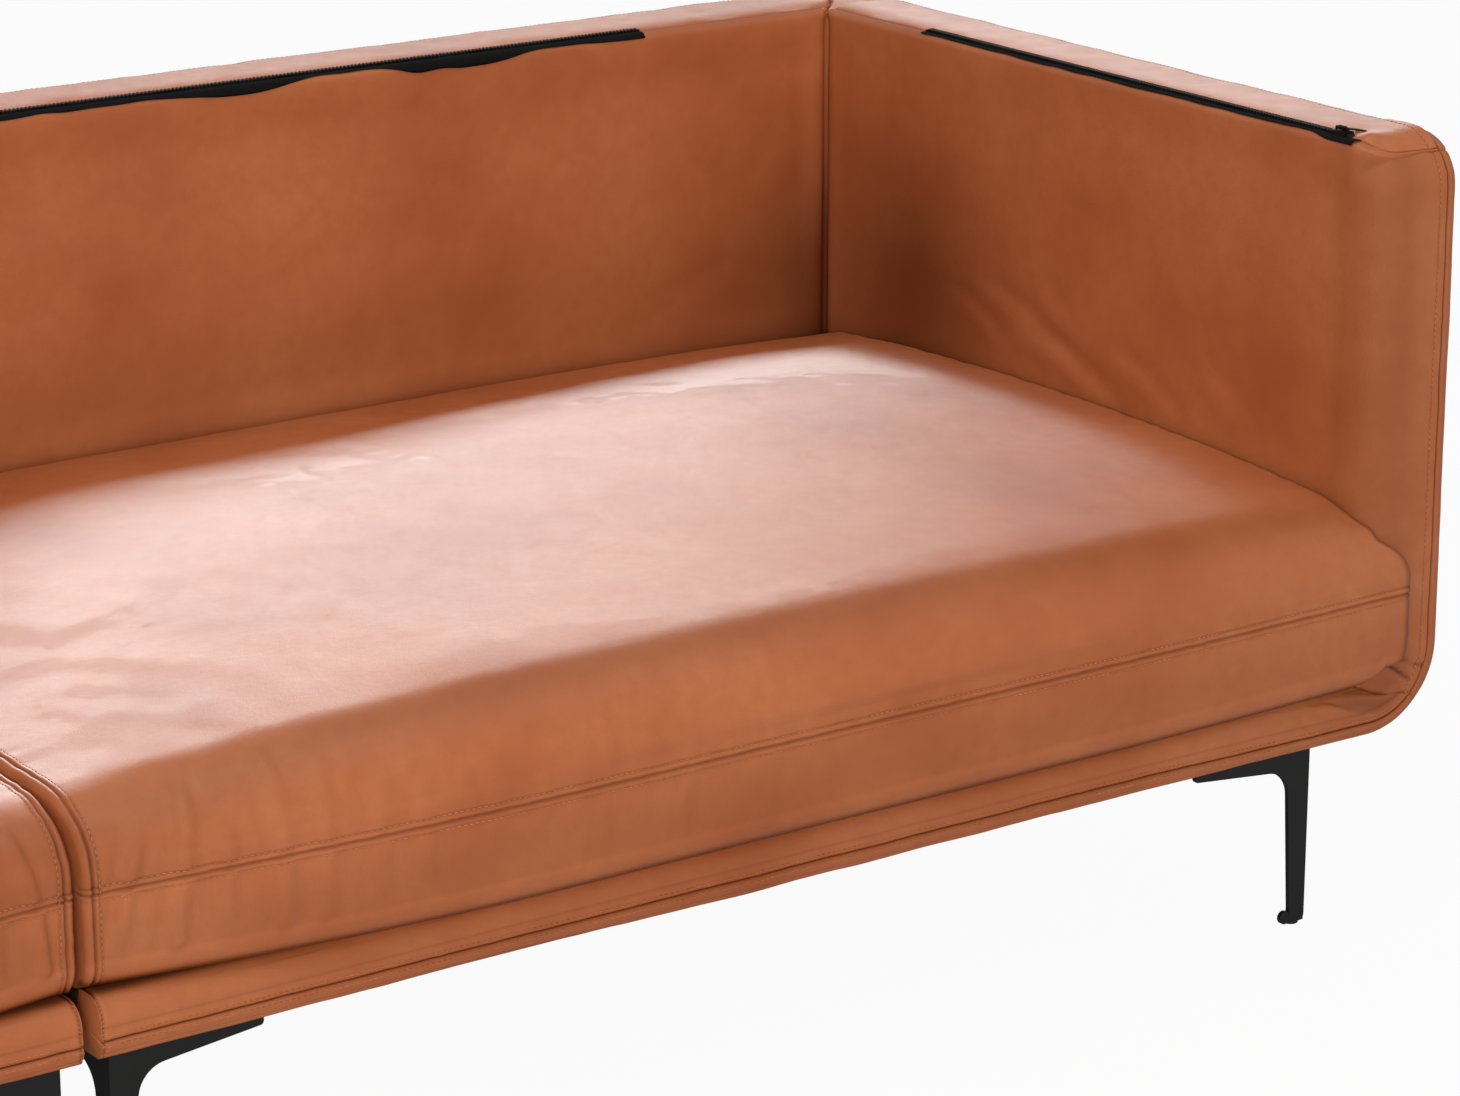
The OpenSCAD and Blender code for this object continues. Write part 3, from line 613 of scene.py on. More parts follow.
# Insets over which the rail's roll turns in at the inner and at the outer side
ROLL_IN, ROLL_OUT = 49.0, 12.0

# Soft creases on the arm's inner face: start and end as (Y, Z), depth and width
ARM_CREASES = (
    ((120, 486), (-58, 421), 2.3, 9.0),
    ((74, 455), (-120, 398), 2.8, 10.0),
    ((-70, 462), (-205, 404), 1.8, 9.0),
    ((165, 470), (60, 424), 1.8, 8.0),
    ((20, 508), (-40, 455), 1.2, 12.0),
    ((-215, 470), (-300, 420), 1.1, 12.0),
)


def crease_field(u, v, creases):
    """Depth of soft valleys, each with a low ridge above it, over the plane (u, v)."""
    total = np.zeros_like(u)
    for start, end, depth, width in creases:
        a, b = np.array(start, float), np.array(end, float)
        run = b - a
        length = np.hypot(*run)
        run /= length
        along = (u - a[0]) * run[0] + (v - a[1]) * run[1]
        bend = 0.06 * length * np.sin(np.pi * np.clip(along / length, 0, 1))
        off = (v - a[1]) * run[0] - (u - a[0]) * run[1] + bend
        fade = smooth(along / (0.3 * length)) * smooth((length - along) / (0.4 * length))
        total += fade * depth * (0.7 * bump(off - 1.7 * width, 1.3 * width) - bump(off, width))
    return total


def below(s, a):
    """Height above the underside of the point at the inset a, in the rail row s."""
    seam = SEAM + (RAIL_SEAM - SEAM) * smooth((-s - 20) / 260)
    return np.where(a <= SEAM, a * seam / SEAM, seam + (a - SEAM) * (BASE_H - seam) / (ARM_W - SEAM))


def front_place(s, a):
    """Plan of the front view: (X, Z) of the row s at the inset a, before the corner is rounded."""
    t = -s
    b = below(s, a)
    x_rail = np.where(t >= MITRE_RUN, X_ARM - t, (X_OUT - a) + ((X_ARM - MITRE_RUN) - (X_OUT - a))
                      * np.clip(t / MITRE_RUN, 0, 1))
    z_arm = np.where(s >= MITRE_RUN, Z_DECK + s, Z_BASE + b + (Z_DECK + MITRE_RUN - Z_BASE - b)
                     * np.clip(s / MITRE_RUN, 0, 1))
    x = np.where(s < 0, x_rail, X_OUT - a)
    z = np.where(s < 0, Z_BASE + b, z_arm)
    return x, z


def arm_surface(params):
    """Places of the arm's and rail's cover: params are (inset, depth, row)."""
    a, f, s = (params[:, i].copy() for i in range(3))
    slant = BAND - BAND_SLANT * np.clip((ARM_W - a) / (ARM_W - SEAM), 0, 1)
    past = slant + (f - BAND) * (SLANT_RUN - slant) / (SLANT_RUN - BAND)
    bent = np.where(f < BAND, f * slant / BAND, past)
    f = np.where((s == ARM_H) & (f < SLANT_RUN), bent, f)
    e, c = soften(ARM_W - a, ARM_H - s, INNER_R)
    a, s = ARM_W - e, ARM_H - c
    a, c = soften(a, ARM_H - s, EDGE_R)
    f, c = soften(f, c, INNER_R)
    s = ARM_H - c
    up = smooth((s + MITRE_RUN) / (2 * MITRE_RUN))
    inner_e = ROLL_IN + (NOSE_R - ROLL_IN) * up
    inner_f = ROLL_TOP_R + (NOSE_R - ROLL_TOP_R) * up
    outer_a = ROLL_OUT + (EDGE_R - ROLL_OUT) * up
    outer_f = ROLL_LOW_R + (EDGE_R - ROLL_LOW_R) * up
    e, f = soften(ARM_W - a, f, inner_e, inner_f)
    a = ARM_W - e
    a, f = soften(a, f, outer_a, outer_f)
    f, c = soften(f, ARM_H - s, TOP_R)
    s = ARM_H - c
    x, z = front_place(s, a)
    w, h = soften(X_OUT - x, z - Z_BASE, CORNER_R)
    return np.stack([X_OUT - w, Y_FRONT + f, Z_BASE + h], axis=1)


def felled_seam(off):
    """Height and shade across a felled seam and its row of stitches; off is the distance inside it."""
    lift = -1.5 * bump(off, 1.0) + 0.5 * bump(off - 3.2, 2.0)
    lift += 0.7 * bump(off + 0.5 * LIP + 0.4, 0.42 * LIP) - 0.6 * bump(off + LIP + 0.6, 0.8)
    shade = 0.42 * bump(off, 0.8) + 0.10 * bump(off, 4) + 0.2 * bump(off + LIP + 0.6, 0.7)
    bed, bed_shade = stitch_bed(off - STITCH_OFF)
    return lift + bed, shade + bed_shade


# Grooves of the plain seams: depth and width, then the ridge beside them (height, place, width),
# then how dark they are and how wide the darkness is
GROOVES = {
    "band": ((1.3, 1.0), (0.4, -3.4, 2.0), (0.5, 0.8)),
    "short": ((1.3, 1.3), (0.5, 4.0, 2.2), (0.5, 1.1)),
    "rail_end": ((0.9, 1.0), (0.5, 4.0, 2.2), (0.55, 1.0)),
    "joint": ((1.4, 1.6), (0.0, 0.0, 1.0), (0.45, 1.1)),
    "hem": ((1.5, 1.3), (0.0, 0.0, 1.0), (0.45, 1.0)),
    "mitre": ((2.4, 1.4), (0.5, 4.0, 2.4), (0.5, 1.0)),
}


def groove(kind, off):
    """Height and shade across a plain seam."""
    (depth, width), (ridge, ridge_at, ridge_width), (tone, tone_width) = GROOVES[kind]
    return np.array([ridge * bump(off - ridge_at, ridge_width) - depth * bump(off, width),
                     tone * bump(off, tone_width)])


def stitch_bed(off):
    """Height and shade of the fine groove that a row of stitches pulls into the leather."""
    return -0.4 * bump(off, 0.9), 0.36 * bump(off, 0.8)


# Height of the bands' crown, and the share of it that a pull presses flat
BAND_CROWN, PULL_PRESS = 4.4, 0.85


def band_crown(inset, width):
    """Padded top of a band: steep beside the inner seam, then nearly flat."""
    t = np.clip(inset / width, 0, 1)
    return BAND_CROWN * (1 - (1 - np.clip(t / 0.32, 0, 1)) ** 2.2) * np.clip((1 - t) / 0.16, 0, 1) ** 0.5


# The lower corner: the deep pleat and the short seam above it, as (row at the inset 22, its slope)
PLEAT, SHORT_SEAM = (12.9, 0.284), (26.0, 0.13)


def lower_corner(a, s, on_front, seed):
    """Height and shade of the deep pleat, the short seam above it and the gathers beside them."""
    def across(line, start):
        return np.where(on_front & (a > start), s - line[0] - line[1] * (a - 22), FAR)

    pleat = across(PLEAT, 20)
    ends = smooth((a - 19) / 8)
    move = ends * (-3.0 * bump(pleat, 2.2) + 1.5 * bump(pleat - 6.5, 4.0) + 1.6 * bump(pleat + 6.5, 4.0))
    # painted shade in the fold of the pleat
    shade = ends * 0.75 * bump(pleat, 1.7)
    reach = smooth((s + 120) / 90) * smooth((14 - s) / 6) * smooth((a - 20) / 14) * smooth((92 - a) / 30)
    reach = reach * (on_front & (s < 14) & (s > -120) & (a > SEAM))
    fold = line_noise(s + 0.33 * a, 8.0, seed + 9)
    move += 1.9 * fold * reach
    # painted shade in the valleys of the gathers
    shade += 0.22 * np.clip(-fold, 0, 1) * reach
    # painted shade in the hollow between the cushion's corner and the arm's front
    shade += 0.3 * smooth((a - 24) / 20) * smooth((70 - s) / 50) * smooth((s + 40) / 30) * on_front
    return np.array([move, shade]) + groove("short", across(SHORT_SEAM, SEAM))


def arm_relief(params, points, seed):
    """Displacement along the normal, and the shade, of the arm's and rail's cover."""
    a, f, s = params.T
    on_top = s == ARM_H
    on_front = f == 0
    on_wall = (a == ARM_W) & (s >= 0)
    on_side = a == 0
    faced = on_top | on_front
    stretch = np.where((s < 0) & (a > SEAM), (BASE_H - RAIL_SEAM) / (ARM_W - SEAM), 1.0)
    outer = np.where(faced, (a - SEAM) * stretch, FAR)
    move, shade = felled_seam(outer)
    along = np.where(on_top, -f, s)
    pucker = line_noise(along, 8.0, seed + 3) * np.exp(-np.abs(outer) / 7)
    pucker += 0.6 * line_noise(along, 5.0, seed + 4) * bump(outer - STITCH_OFF, 3.0)
    move += 0.4 * pucker * faced
    # the outer strip stands a little proud below the rail
    hem = on_front & (a < SEAM) & (s < 0)
    move += 1.4 * np.sin(np.pi * np.clip(a / SEAM, 0, 1)) * hem
    # the strip between the outer seam and the rounded inner edge is softly crowned
    width = np.clip((a - SEAM) / 40, 0, 1)
    move += 1.5 * np.sin(np.pi * width) * (on_front & (s > 0))
    # band seam along the top, with a flat bed for the zip
    inset = np.minimum(ARM_W - a, f)
    beside = on_top & (ARM_W - a <= f) & (a > SEAM)
    in_zip = beside & (f > ARM_ZIP[0] - 6) & (f < ARM_ZIP[1] + 4)
    band = np.where(on_top & ~in_zip & (a > SEAM), inset - BAND, FAR)
    rise = smooth((f - 6) / 40)
    flat = PULL_PRESS * around(points, ARM_PULL_AT, (20, 13))
    crown = band_crown(inset - BAND, ARM_W - SEAM - BAND)
    move += rise * (1 - flat) * crown * on_top * (a > SEAM)
    crumple = noise(points, (26, 18, 30), seed + 15)
    move += 0.55 * crumple * on_top * smooth((inset - BAND) / 6) * smooth((a - SEAM) / 6)
    move += 3.0 * around(points, ARM_BUNCH_AT, (8, 7)) * on_top
    # painted shade under the roll of the rail, where the cushion rests on it
    shade += 0.7 * smooth((f - 8) / 14) * (a == ARM_W) * (s < 0)
    seams = lower_corner(a, s, on_front, seed) + groove("band", band)
    seams += groove("rail_end", np.where(s < 0, s + RAIL_LEN - 2, FAR))
    move += seams[0]
    shade += seams[1]
    # inner corner beside the back, and the soft inner face above the cushion
    corner = np.where(on_wall, ARM_D - f, FAR)
    move -= 3.4 * np.exp(-corner / 4.5) * on_wall * smooth((ARM_H - s) / 12)
    shade += 0.4 * bump(corner, 2.5)
    # painted shade: a broad dark patch on the inner face near the corner, fading towards the top
    shade += 0.8 * bump(corner - 140, 130) * smooth((ARM_H - s - 10) / 240) * on_wall
    # painted shade on the arm's rounded nose, darker towards its middle
    nose = np.where(on_front, smooth((a - 22) / 45), np.where(on_wall, smooth((75 - f) / 60), 0.0))
    shade += 0.26 * nose * smooth((s - 10) / 60) * (on_front | on_wall)
    y, z = points[:, 1], points[:, 2]
    calm = smooth((ARM_H - s - 8) / 50)
    free = smooth((s - 168) / 40) * on_wall * calm * smooth(f / 50)
    puff = (1 - ((f - 420) / 400) ** 4) * np.clip(1 - ((s - 300) / 230) ** 4, 0, 1)
    swell = 2.2 * puff + 1.9 * noise(points, 150, seed) + 0.5 * noise(points, 45, seed + 1)
    move += free * smooth(corner / ROOM_RUN) * (swell - ARM_ROOM)
    lines = crease_field(y, z, ARM_CREASES) * on_wall * smooth((s - 150) / 30)
    move += lines * calm
    # painted shade in the valleys of the creases
    shade += 0.12 * np.clip(-lines, 0, 3) / 3
    soft = 0.35 * noise(points, 60, seed + 5) + 0.12 * noise(points, 14, seed + 6)
    plain = on_side & ~on_front & ~on_top
    near_top = np.where(on_wall, 0.15, np.where(on_front, 0.15 + 0.85 * smooth((ARM_W - a) / 30), 1.0))
    near_top = near_top * np.where(in_zip & (inset < 20), 0.1, 1.0)
    move += near_top * soft
    move = np.where(plain, np.maximum(1.3 * noise(points, 190, seed + 7) + soft, -0.7), move)
    joint = groove("joint", np.where(plain, ARM_D - f, FAR))
    return move + joint[0], np.clip(shade + joint[1], 0, 1)


ARM_PIECES = {
    "inner": ("arm_inner_leather", ("arm_inner_cover", "arm_foam")),
    "band": ("arm_top_band", ("arm_inner_cover",)),
    "outer": ("arm_outer_leather", ("arm_outer_cover",)),
    "rail": ("rail_leather", ("rail_cover", "rail_foam")),
    "hem": ("rail_hem", ("rail_cover",)),
}
CAP_SHARES = (1.0, 0.97, 0.9, 0.75, 0.5, 0.2)


def rail_end(side, k, rim):
    """Domed end of the rail at the joining plane: rings that shrink from the rim towards the middle."""
    n = len(rim)
    middle = np.array([rim[:, 0].mean(), Y_FRONT + 20, rim[:, 2].mean()])
    dome = np.array([CAP_DOME, 0, 0])
    rings = [middle + (rim - middle) * q - dome * (1 - q * q) for q in CAP_SHARES]
    points = np.concatenate(rings + [[middle - dome]])
    faces = fan(np.arange(n * len(rings)).reshape(-1, n), n * len(rings))
    corners = points[faces[n // 2]]
    if np.cross(corners[1] - corners[0], corners[3] - corners[0])[0] > 0:
        faces = [f[::-1] for f in faces]
    shade = np.concatenate([np.full(n, 0.4), np.full(n, 0.1), np.zeros(len(points) - 2 * n)])
    obj = piece(f"rail_end_{side}", points, faces, LEATHER, k, "frame", "leather",
                (f"rail_cover_{side}",), shade)
    thicken(obj, CAP_T)


def arm_module(side, k):
    loop = [(ARM_W, f) for f in DEPTHS[::-1]] + [(a, 0.0) for a in INSETS[::-1][1:]]
    loop = np.array(loop + [(0.0, f) for f in DEPTHS[1:]])
    n_wall, n_front = len(DEPTHS), len(INSETS) - 1
    tube = param_grid(loop[None, :, 0], loop[None, :, 1], ROWS[:, None])
    top = param_grid(INSETS[:, None], DEPTHS[None], ARM_H)
    params, (index, index_top) = weld(tube, top)

    cell_s, cell_a, cell_f = halfway(ROWS)[:, None], halfway(loop[:, 0])[None], halfway(loop[:, 1])[None]
    column = np.arange(len(loop) - 1)[None]
    wall = column < n_wall - 1
    front = ~wall & (column < n_wall - 1 + n_front)
    underside = ~wall & ~front
    rail = cell_s < 0
    strip = front & (cell_a < SEAM)
    behind_rail = (cell_f < RAIL_D) | (cell_s > -UNDER_T)
    keep = ~rail | front | (wall & (cell_f < TUCK_D)) | (~wall & behind_rail)
    kinds = {
        "rail": keep & rail & (wall | (front & ~strip)),
        "hem": keep & rail & (strip | (underside & (cell_f < RAIL_D) & (cell_s < -UNDER_T))),
        "outer": keep & ((~rail & (strip | underside)) | (rail & underside & (cell_s > -UNDER_T))),
        "inner": keep & ~rail & (wall | (front & ~strip)),
    }
    top_a, top_f = halfway(INSETS)[:, None], halfway(DEPTHS)[None]
    top_in = np.minimum(ARM_W - top_a, top_f) < BAND
    top_kinds = {"outer": (top_a < SEAM) & (top_f > 0), "inner": (top_a > SEAM) & top_in,
                 "band": (top_a > SEAM) & ~top_in}

    points = arm_surface(params)
    probe = index[len(ROWS) // 2 + 20, n_wall + 10]
    cells, cells_top = facing(points, probe, 1, -1, grid_quads(index), grid_quads(index_top))
    quads = joint_quads(cells[keep], cells_top)
    move, shade = arm_relief(params, points, SEEDS[side]["arm"])
    points = points + normals(points, quads) * move[:, None]
    points[:, 0] = np.clip(points[:, 0], X_JOIN, X_OUT + 4)
    out = normals(points, quads)
    made = {kind: cells[mask] for kind, mask in kinds.items()}
    for kind, mask in top_kinds.items():
        made[kind] = joint_quads(made.get(kind, cells[:0]), cells_top[mask])
    leather_pieces(side, k, ARM_PIECES, made, points, shade)
    ends = [i for i, (_, f) in enumerate(loop) if f <= (TUCK_D if i < n_wall else RAIL_D)]
    rail_end(side, k, points[index[0][ends]])

    def row(ids, **kind):
        return stitch_row(points[ids], out[ids], **kind)

    i_row = {round(a, 3): i for i, a in enumerate(INSETS)}
    front_col = {a: n_wall - 1 + n_front - i for a, i in i_row.items()}
    at = round(SEAM + STITCH_OFF, 3)
    band_row = list(index_top[i_row[at]][::-1]) + list(index[::-1, front_col[at]][1:])
    hem_row = index[ROWS < -70, front_col[round(SEAM - 2.6, 3)]]
    end_row = index[nearest(ROWS, 2 - RAIL_LEN), n_wall - 7: front_col[0.0] - 2]
    thread_piece(f"shell_stitches_{side}", k, "frame",
                 [row(band_row), row(hem_row), row(end_row, pitch=3.4, length=2.6, slant=1.2)])


# ---------------------------------------------------------------- back

BACK_DEPTHS = joined([0, 1.5, 3, 4.5, 6], near(BAND, (0.6, 1.3, 2.4, 4.0)), steps(18, 78, 5),
                     near(BACK_W - SEAM - STITCH_OFF, (0.8, 1.8)), near(BACK_W - SEAM, SEAM_SPREAD),
                     [97.5, 100, BACK_W])
BACK_HEIGHTS = joined([0, 2, 4, 8, 14, 20], steps(26, 520, 7.5), [524, 528, 530.5, 532.5, ARM_H + BASE_H],
                      [BASE_H])
BACK_X = joined([X_JOIN, X_JOIN + 1.5, X_JOIN + 4, X_JOIN + 8], steps(X_JOIN + 14, 1226, 8),
                steps(1230, 1266, 2.5), [X_ARM], steps(1270, 1326, 6),
                near(X_OUT - SEAM, (0.7, 1.5, 2.6, 4)), near(X_OUT - SEAM - STITCH_OFF, (0.8,)),
                [1344.5, 1347, X_OUT])

# Soft waves of the back's inner face: start and end as (X, Z), depth and width
BACK_CREASES = (
    ((820, 560), (560, 470), 1.3, 26.0),
    ((1180, 470), (1040, 420), 1.4, 14.0),
    ((420, 640), (250, 520), 1.2, 24.0),
    ((1215, 620), (1150, 500), 1.2, 16.0),
)


def back_surface(params):
    """Places of the back's cover: params are (X, depth from the inner face, height)."""
    x, g, h = (params[:, i].copy() for i in range(3))
    top = ARM_H + BASE_H
    front_r = INNER_R * np.clip(1 - (x - X_ARM) / INNER_R, 0.02, 1)
    g, c = soften(g, top - h, front_r)
    d, c = soften(BACK_W - g, c, EDGE_R)
    w, c = soften(X_OUT - x, c, EDGE_R)
    w, d = soften(w, d, REAR_R)
    h = top - c
    j, d = soften(X_OUT - w - X_JOIN, d, 4.0)
    w = X_OUT - X_JOIN - j
    d, h = soften(d, h, 4.0)
    w, h = soften(w, h, CORNER_R)
    return np.stack([X_OUT - w, Y_REAR - d, Z_BASE + h], axis=1)


def back_relief(params, points, seed):
    """Displacement along the normal, and the shade, of the back's cover."""
    x, g, h = params.T
    top = ARM_H + BASE_H
    on_top = h == top
    on_inner = g == 0
    on_rear = g == BACK_W
    on_end = (x == X_OUT) & ~on_top
    w, d = X_OUT - x, BACK_W - g
    outer = np.where(on_top, np.minimum(w, d) - SEAM, FAR)
    move, shade = felled_seam(outer)
    along = np.where(w < d, g, x)
    move += 0.4 * line_noise(along, 8.0, seed + 3) * np.exp(-np.abs(outer) / 7) * on_top
    in_zip = on_top & (x > BACK_ZIP[0] - 4) & (x < BACK_ZIP[1] + 4)
    band = np.where(on_top & ~in_zip & (x < X_ARM + BAND + 2), g - BAND, FAR)
    inside = on_top & (outer > 0)
    inset = np.where(x < X_ARM, g - BAND, np.maximum(g, x - X_ARM) - BAND)
    width = np.where(x < X_ARM, BACK_W, ARM_W) - SEAM - BAND
    flat = PULL_PRESS * around(points, BACK_PULL_AT, (13, 20))
    move += (1 - flat) * band_crown(inset, width) * inside
    crumple = noise(points, (30, 20, 30), seed + 15)
    move += 0.6 * crumple * inside * smooth(inset / 6)
    # mitre between the two top bands
    mitre = np.where(inside & (x > X_ARM - 8), ((x - X_ARM) / ARM_W - g / BACK_W) * 70, FAR)
    # inner corner beside the arm
    corner = np.where(on_inner, X_ARM - x, FAR)
    move -= 3.4 * np.exp(-np.abs(corner) / 4.5) * on_inner * smooth((top - h) / 12)
    shade += 0.4 * bump(corner, 2.5) * on_inner
    # painted shade on the inner face near the corner, and darker towards the bottom
    shade += 0.8 * np.exp(-np.abs(corner) / 110) * on_inner * smooth((top - h - 40) / 220)
    shade += 0.16 * on_inner * smooth((top - h - 170) / 90)
    calm = smooth((top - h - 8) / 50)
    free = (on_inner & (x < X_ARM + 8)) * smooth((h - BASE_H - 160) / 40) * calm
    puff = 1 - np.clip(np.abs(x - 640) / 640, 0, 1) ** 4
    swell = 2.4 * puff + 2.0 * noise(points, 170, seed) + 0.5 * noise(points, 48, seed + 1)
    move += free * smooth(np.abs(X_ARM - x) / ROOM_RUN) * (swell - BACK_ROOM)
    move += crease_field(x, points[:, 2], BACK_CREASES) * free
    plain = (on_rear | on_end) & ~on_top
    hollow = 1.4 * noise(points, 210, seed + 7) + 0.4 * noise(points, 60, seed + 8)
    move += plain * np.maximum(hollow, -0.7)
    move += 0.12 * noise(points, 14, seed + 6) * ~(in_zip & (g < 20))
    seams = groove("band", band) + groove("mitre", np.abs(mitre))
    seams += groove("hem", np.where(on_rear, h - SEAM, FAR)) + groove("joint", np.where(on_end, g, FAR))
    return move + seams[0], np.clip(shade + seams[1], 0, 1)


BACK_PIECES = {
    "inner": ("back_inner_leather", ("back_inner_cover", "back_foam")),
    "band": ("back_top_band", ("back_inner_cover",)),
    "corner": ("corner_band", ("back_inner_cover",)),
    "outer": ("back_outer_leather", ("back_outer_cover",)),
}


def back_module(side, k):
    top = ARM_H + BASE_H
    inner_h = BACK_HEIGHTS[BACK_HEIGHTS >= BASE_H]
    loop = [(0.0, h) for h in inner_h] + [(g, top) for g in BACK_DEPTHS[1:]]
    loop += [(BACK_W, h) for h in BACK_HEIGHTS[::-1][1:]] + [(g, 0.0) for g in BACK_DEPTHS[::-1][1:]]
    loop = np.array(loop)
    strip = param_grid(BACK_X[:, None], loop[None, :, 0], loop[None, :, 1])
    end, start = (param_grid(x, BACK_DEPTHS[:, None], BACK_HEIGHTS[None]) for x in (X_OUT, X_JOIN))
    params, (index, index_end, index_start) = weld(strip, end, start)

    cell_x, cell_g, cell_h = halfway(BACK_X)[:, None], halfway(loop[:, 0])[None], halfway(loop[:, 1])[None]
    column = np.arange(len(loop) - 1)[None]
    n_in, n_top = len(inner_h) - 1, len(BACK_DEPTHS) - 1
    inner = (column < n_in) & (cell_x < X_ARM + 8)
    on_top = (column >= n_in) & (column < n_in + n_top)
    bottom = cell_h == 0
    turned_in = bottom & ((cell_g > BACK_W - 30) | (cell_x > X_BASE))
    keep = inner | on_top | ((column >= n_in) & ~bottom) | turned_in
    inside = np.minimum(X_OUT - cell_x, BACK_W - cell_g) > SEAM
    banded = on_top & inside & ((cell_g > BAND) | (cell_x > X_ARM))
    past_mitre = (cell_x - X_ARM) / ARM_W > cell_g / BACK_W
    top_strip = on_top & (cell_g < BAND) & (cell_x < X_ARM)
    kinds = {"inner": inner | top_strip, "band": banded & ~past_mitre, "corner": banded & past_mitre,
             "outer": keep & (column >= n_in) & ~banded & ~top_strip}

    points = back_surface(params)
    cells, cells_end, cells_start = facing(points, index[60, 10], 1, -1, grid_quads(index),
                                           grid_quads(index_end)[..., ::-1], grid_quads(index_start))
    quads = joint_quads(cells[keep], cells_end, cells_start)
    move, shade = back_relief(params, points, SEEDS[side]["back"])
    points = points + normals(points, quads) * move[:, None]
    out = normals(points, quads)
    made = {kind: cells[mask] for kind, mask in kinds.items()}
    made["outer"] = joint_quads(made["outer"], cells_end, cells_start)
    leather_pieces(side, k, BACK_PIECES, made, points, shade)
    col = n_in + nearest(BACK_DEPTHS, BACK_W - SEAM - STITCH_OFF)
    last = nearest(BACK_X, X_OUT - SEAM - STITCH_OFF)
    top_row = list(index[: last + 1, col]) + list(index[last, n_in: col][::-1])
    hem_row = index[2: last, n_in + n_top + nearest(BACK_HEIGHTS[::-1], 20)]
    thread_piece(f"back_stitches_{side}", k, "frame",
                 [stitch_row(points[ids], out[ids]) for ids in (top_row, hem_row)])


# ---------------------------------------------------------------- seat cushion

# Parts of a section round the cushion, from the front seam downwards, with their steps: lower front,
# low edge, underside, low back edge, back, top back edge, top, nose and upper front
SECTION_STEPS = (7, 5, 58, 5, 9, 7, 74, 12, 3)
PARTS = len(SECTION_STEPS)


def crown_at(s):
    """Share of its full crown that the cushion has at the share s of its width."""
    def rise(t):
        return np.sin(np.pi / 2 * np.clip(t, 0, 1))

    return rise(s / 0.32) * (1 - 0.25 * (1 - rise((1 - s) / 0.24)))


def section_points(s, tau):
    """(Y, Z) of the section at the share s of the width, at the places tau along its parts."""
    c = crown_at(s)
    f = Y_FRONT + END_SET - c * (END_SET + PROUD)
    b, r, t = CUSH_Z0, CUSH_Y1, CUSH_EDGE
    k = np.floor(tau).astype(int) % PARTS
    u = tau - np.floor(tau)
    y, z = np.zeros(np.broadcast(s, tau).shape), np.zeros(np.broadcast(s, tau).shape)
    turn = np.pi / 2 * u

    def put(part, yy, zz):
        nonlocal y, z
        y, z = np.where(k == part, yy, y), np.where(k == part, zz, z)

    put(0, f, CUSH_SEAM_Z + (b + LOW_R - CUSH_SEAM_Z) * u)
    put(1, f + LOW_R - LOW_R * np.cos(turn), b + LOW_R - LOW_R * np.sin(turn))
    put(2, f + LOW_R + (r - LOW_R - f - LOW_R) * u, b)
    put(3, r - LOW_R + LOW_R * np.sin(turn), b + LOW_R - LOW_R * np.cos(turn))
    put(4, r, b + LOW_R + (t - BACK_R - b - LOW_R) * u)
    put(5, r - BACK_R + BACK_R * np.cos(turn), t - BACK_R + BACK_R * np.sin(turn))
    put(6, r - BACK_R + (f + NOSE_D - r + BACK_R) * u, t)
    put(7, f + NOSE_D - NOSE_D * np.sin(turn), t - NOSE_H + NOSE_H * np.cos(turn))
    put(8, f, t - NOSE_H + (CUSH_SEAM_Z - t + NOSE_H) * u)
    middle, half = (Y_FRONT + CUSH_Y1) / 2, (CUSH_Y1 - Y_FRONT) / 2
    v = (y - middle) / half
    lift = c * CROWN * (1 - 0.45 * v * v) * ((z - b) / (t - b)) ** 2
    return y, z + lift


def flare_at(y):
    """How far the cushion's end at the arm swells past its plane, round and before the arm's nose."""
    t = np.clip(Y_FRONT + NOSE_R - y, 0, NOSE_R - 4)
    return 0.8 * (NOSE_R - np.sqrt(NOSE_R ** 2 - t ** 2)) + LOBE * np.clip(Y_FRONT - 3 - y, 0, 13)


def cushion_points(s, tau):
    """Grid of places of the cushion's body, stations by places round the section."""
    ss, tt = np.meshgrid(s, tau, indexing="ij")
    y, z = section_points(ss, tt)
    a, b = CUSH_X0 + DOME, CUSH_X1 - DOME
    flare = flare_at(y)
    x = a + ss * (b - a) + np.clip(1 - (1 - ss) / 0.1, 0, 1) ** 2 * flare
    radius = 2 + (CUSH_CORNER_R - 2) * smooth((-330 - y) / 70)
    w, h = soften(b + flare - x, z - CUSH_Z0, radius)
    return np.stack([b + flare - w, y, CUSH_Z0 + h], axis=-1)


def section_taus(scale):
    out = []
    for part, n in enumerate(SECTION_STEPS):
        m = n * scale
        out += [part + i / m for i in range(m)]
    return np.array(out)


CLOTH = {"quality": 5, "mass": 0.25, "air_damping": 4.0, "tension_stiffness": 40,
         "compression_stiffness": 40, "shear_stiffness": 20, "bending_stiffness": 0.3,
         "use_pressure": True, "uniform_pressure_force": 0.6, "shrink_min": -0.006,
         "vertex_group_mass": "hold"}
CLOTH_STEPS = 20


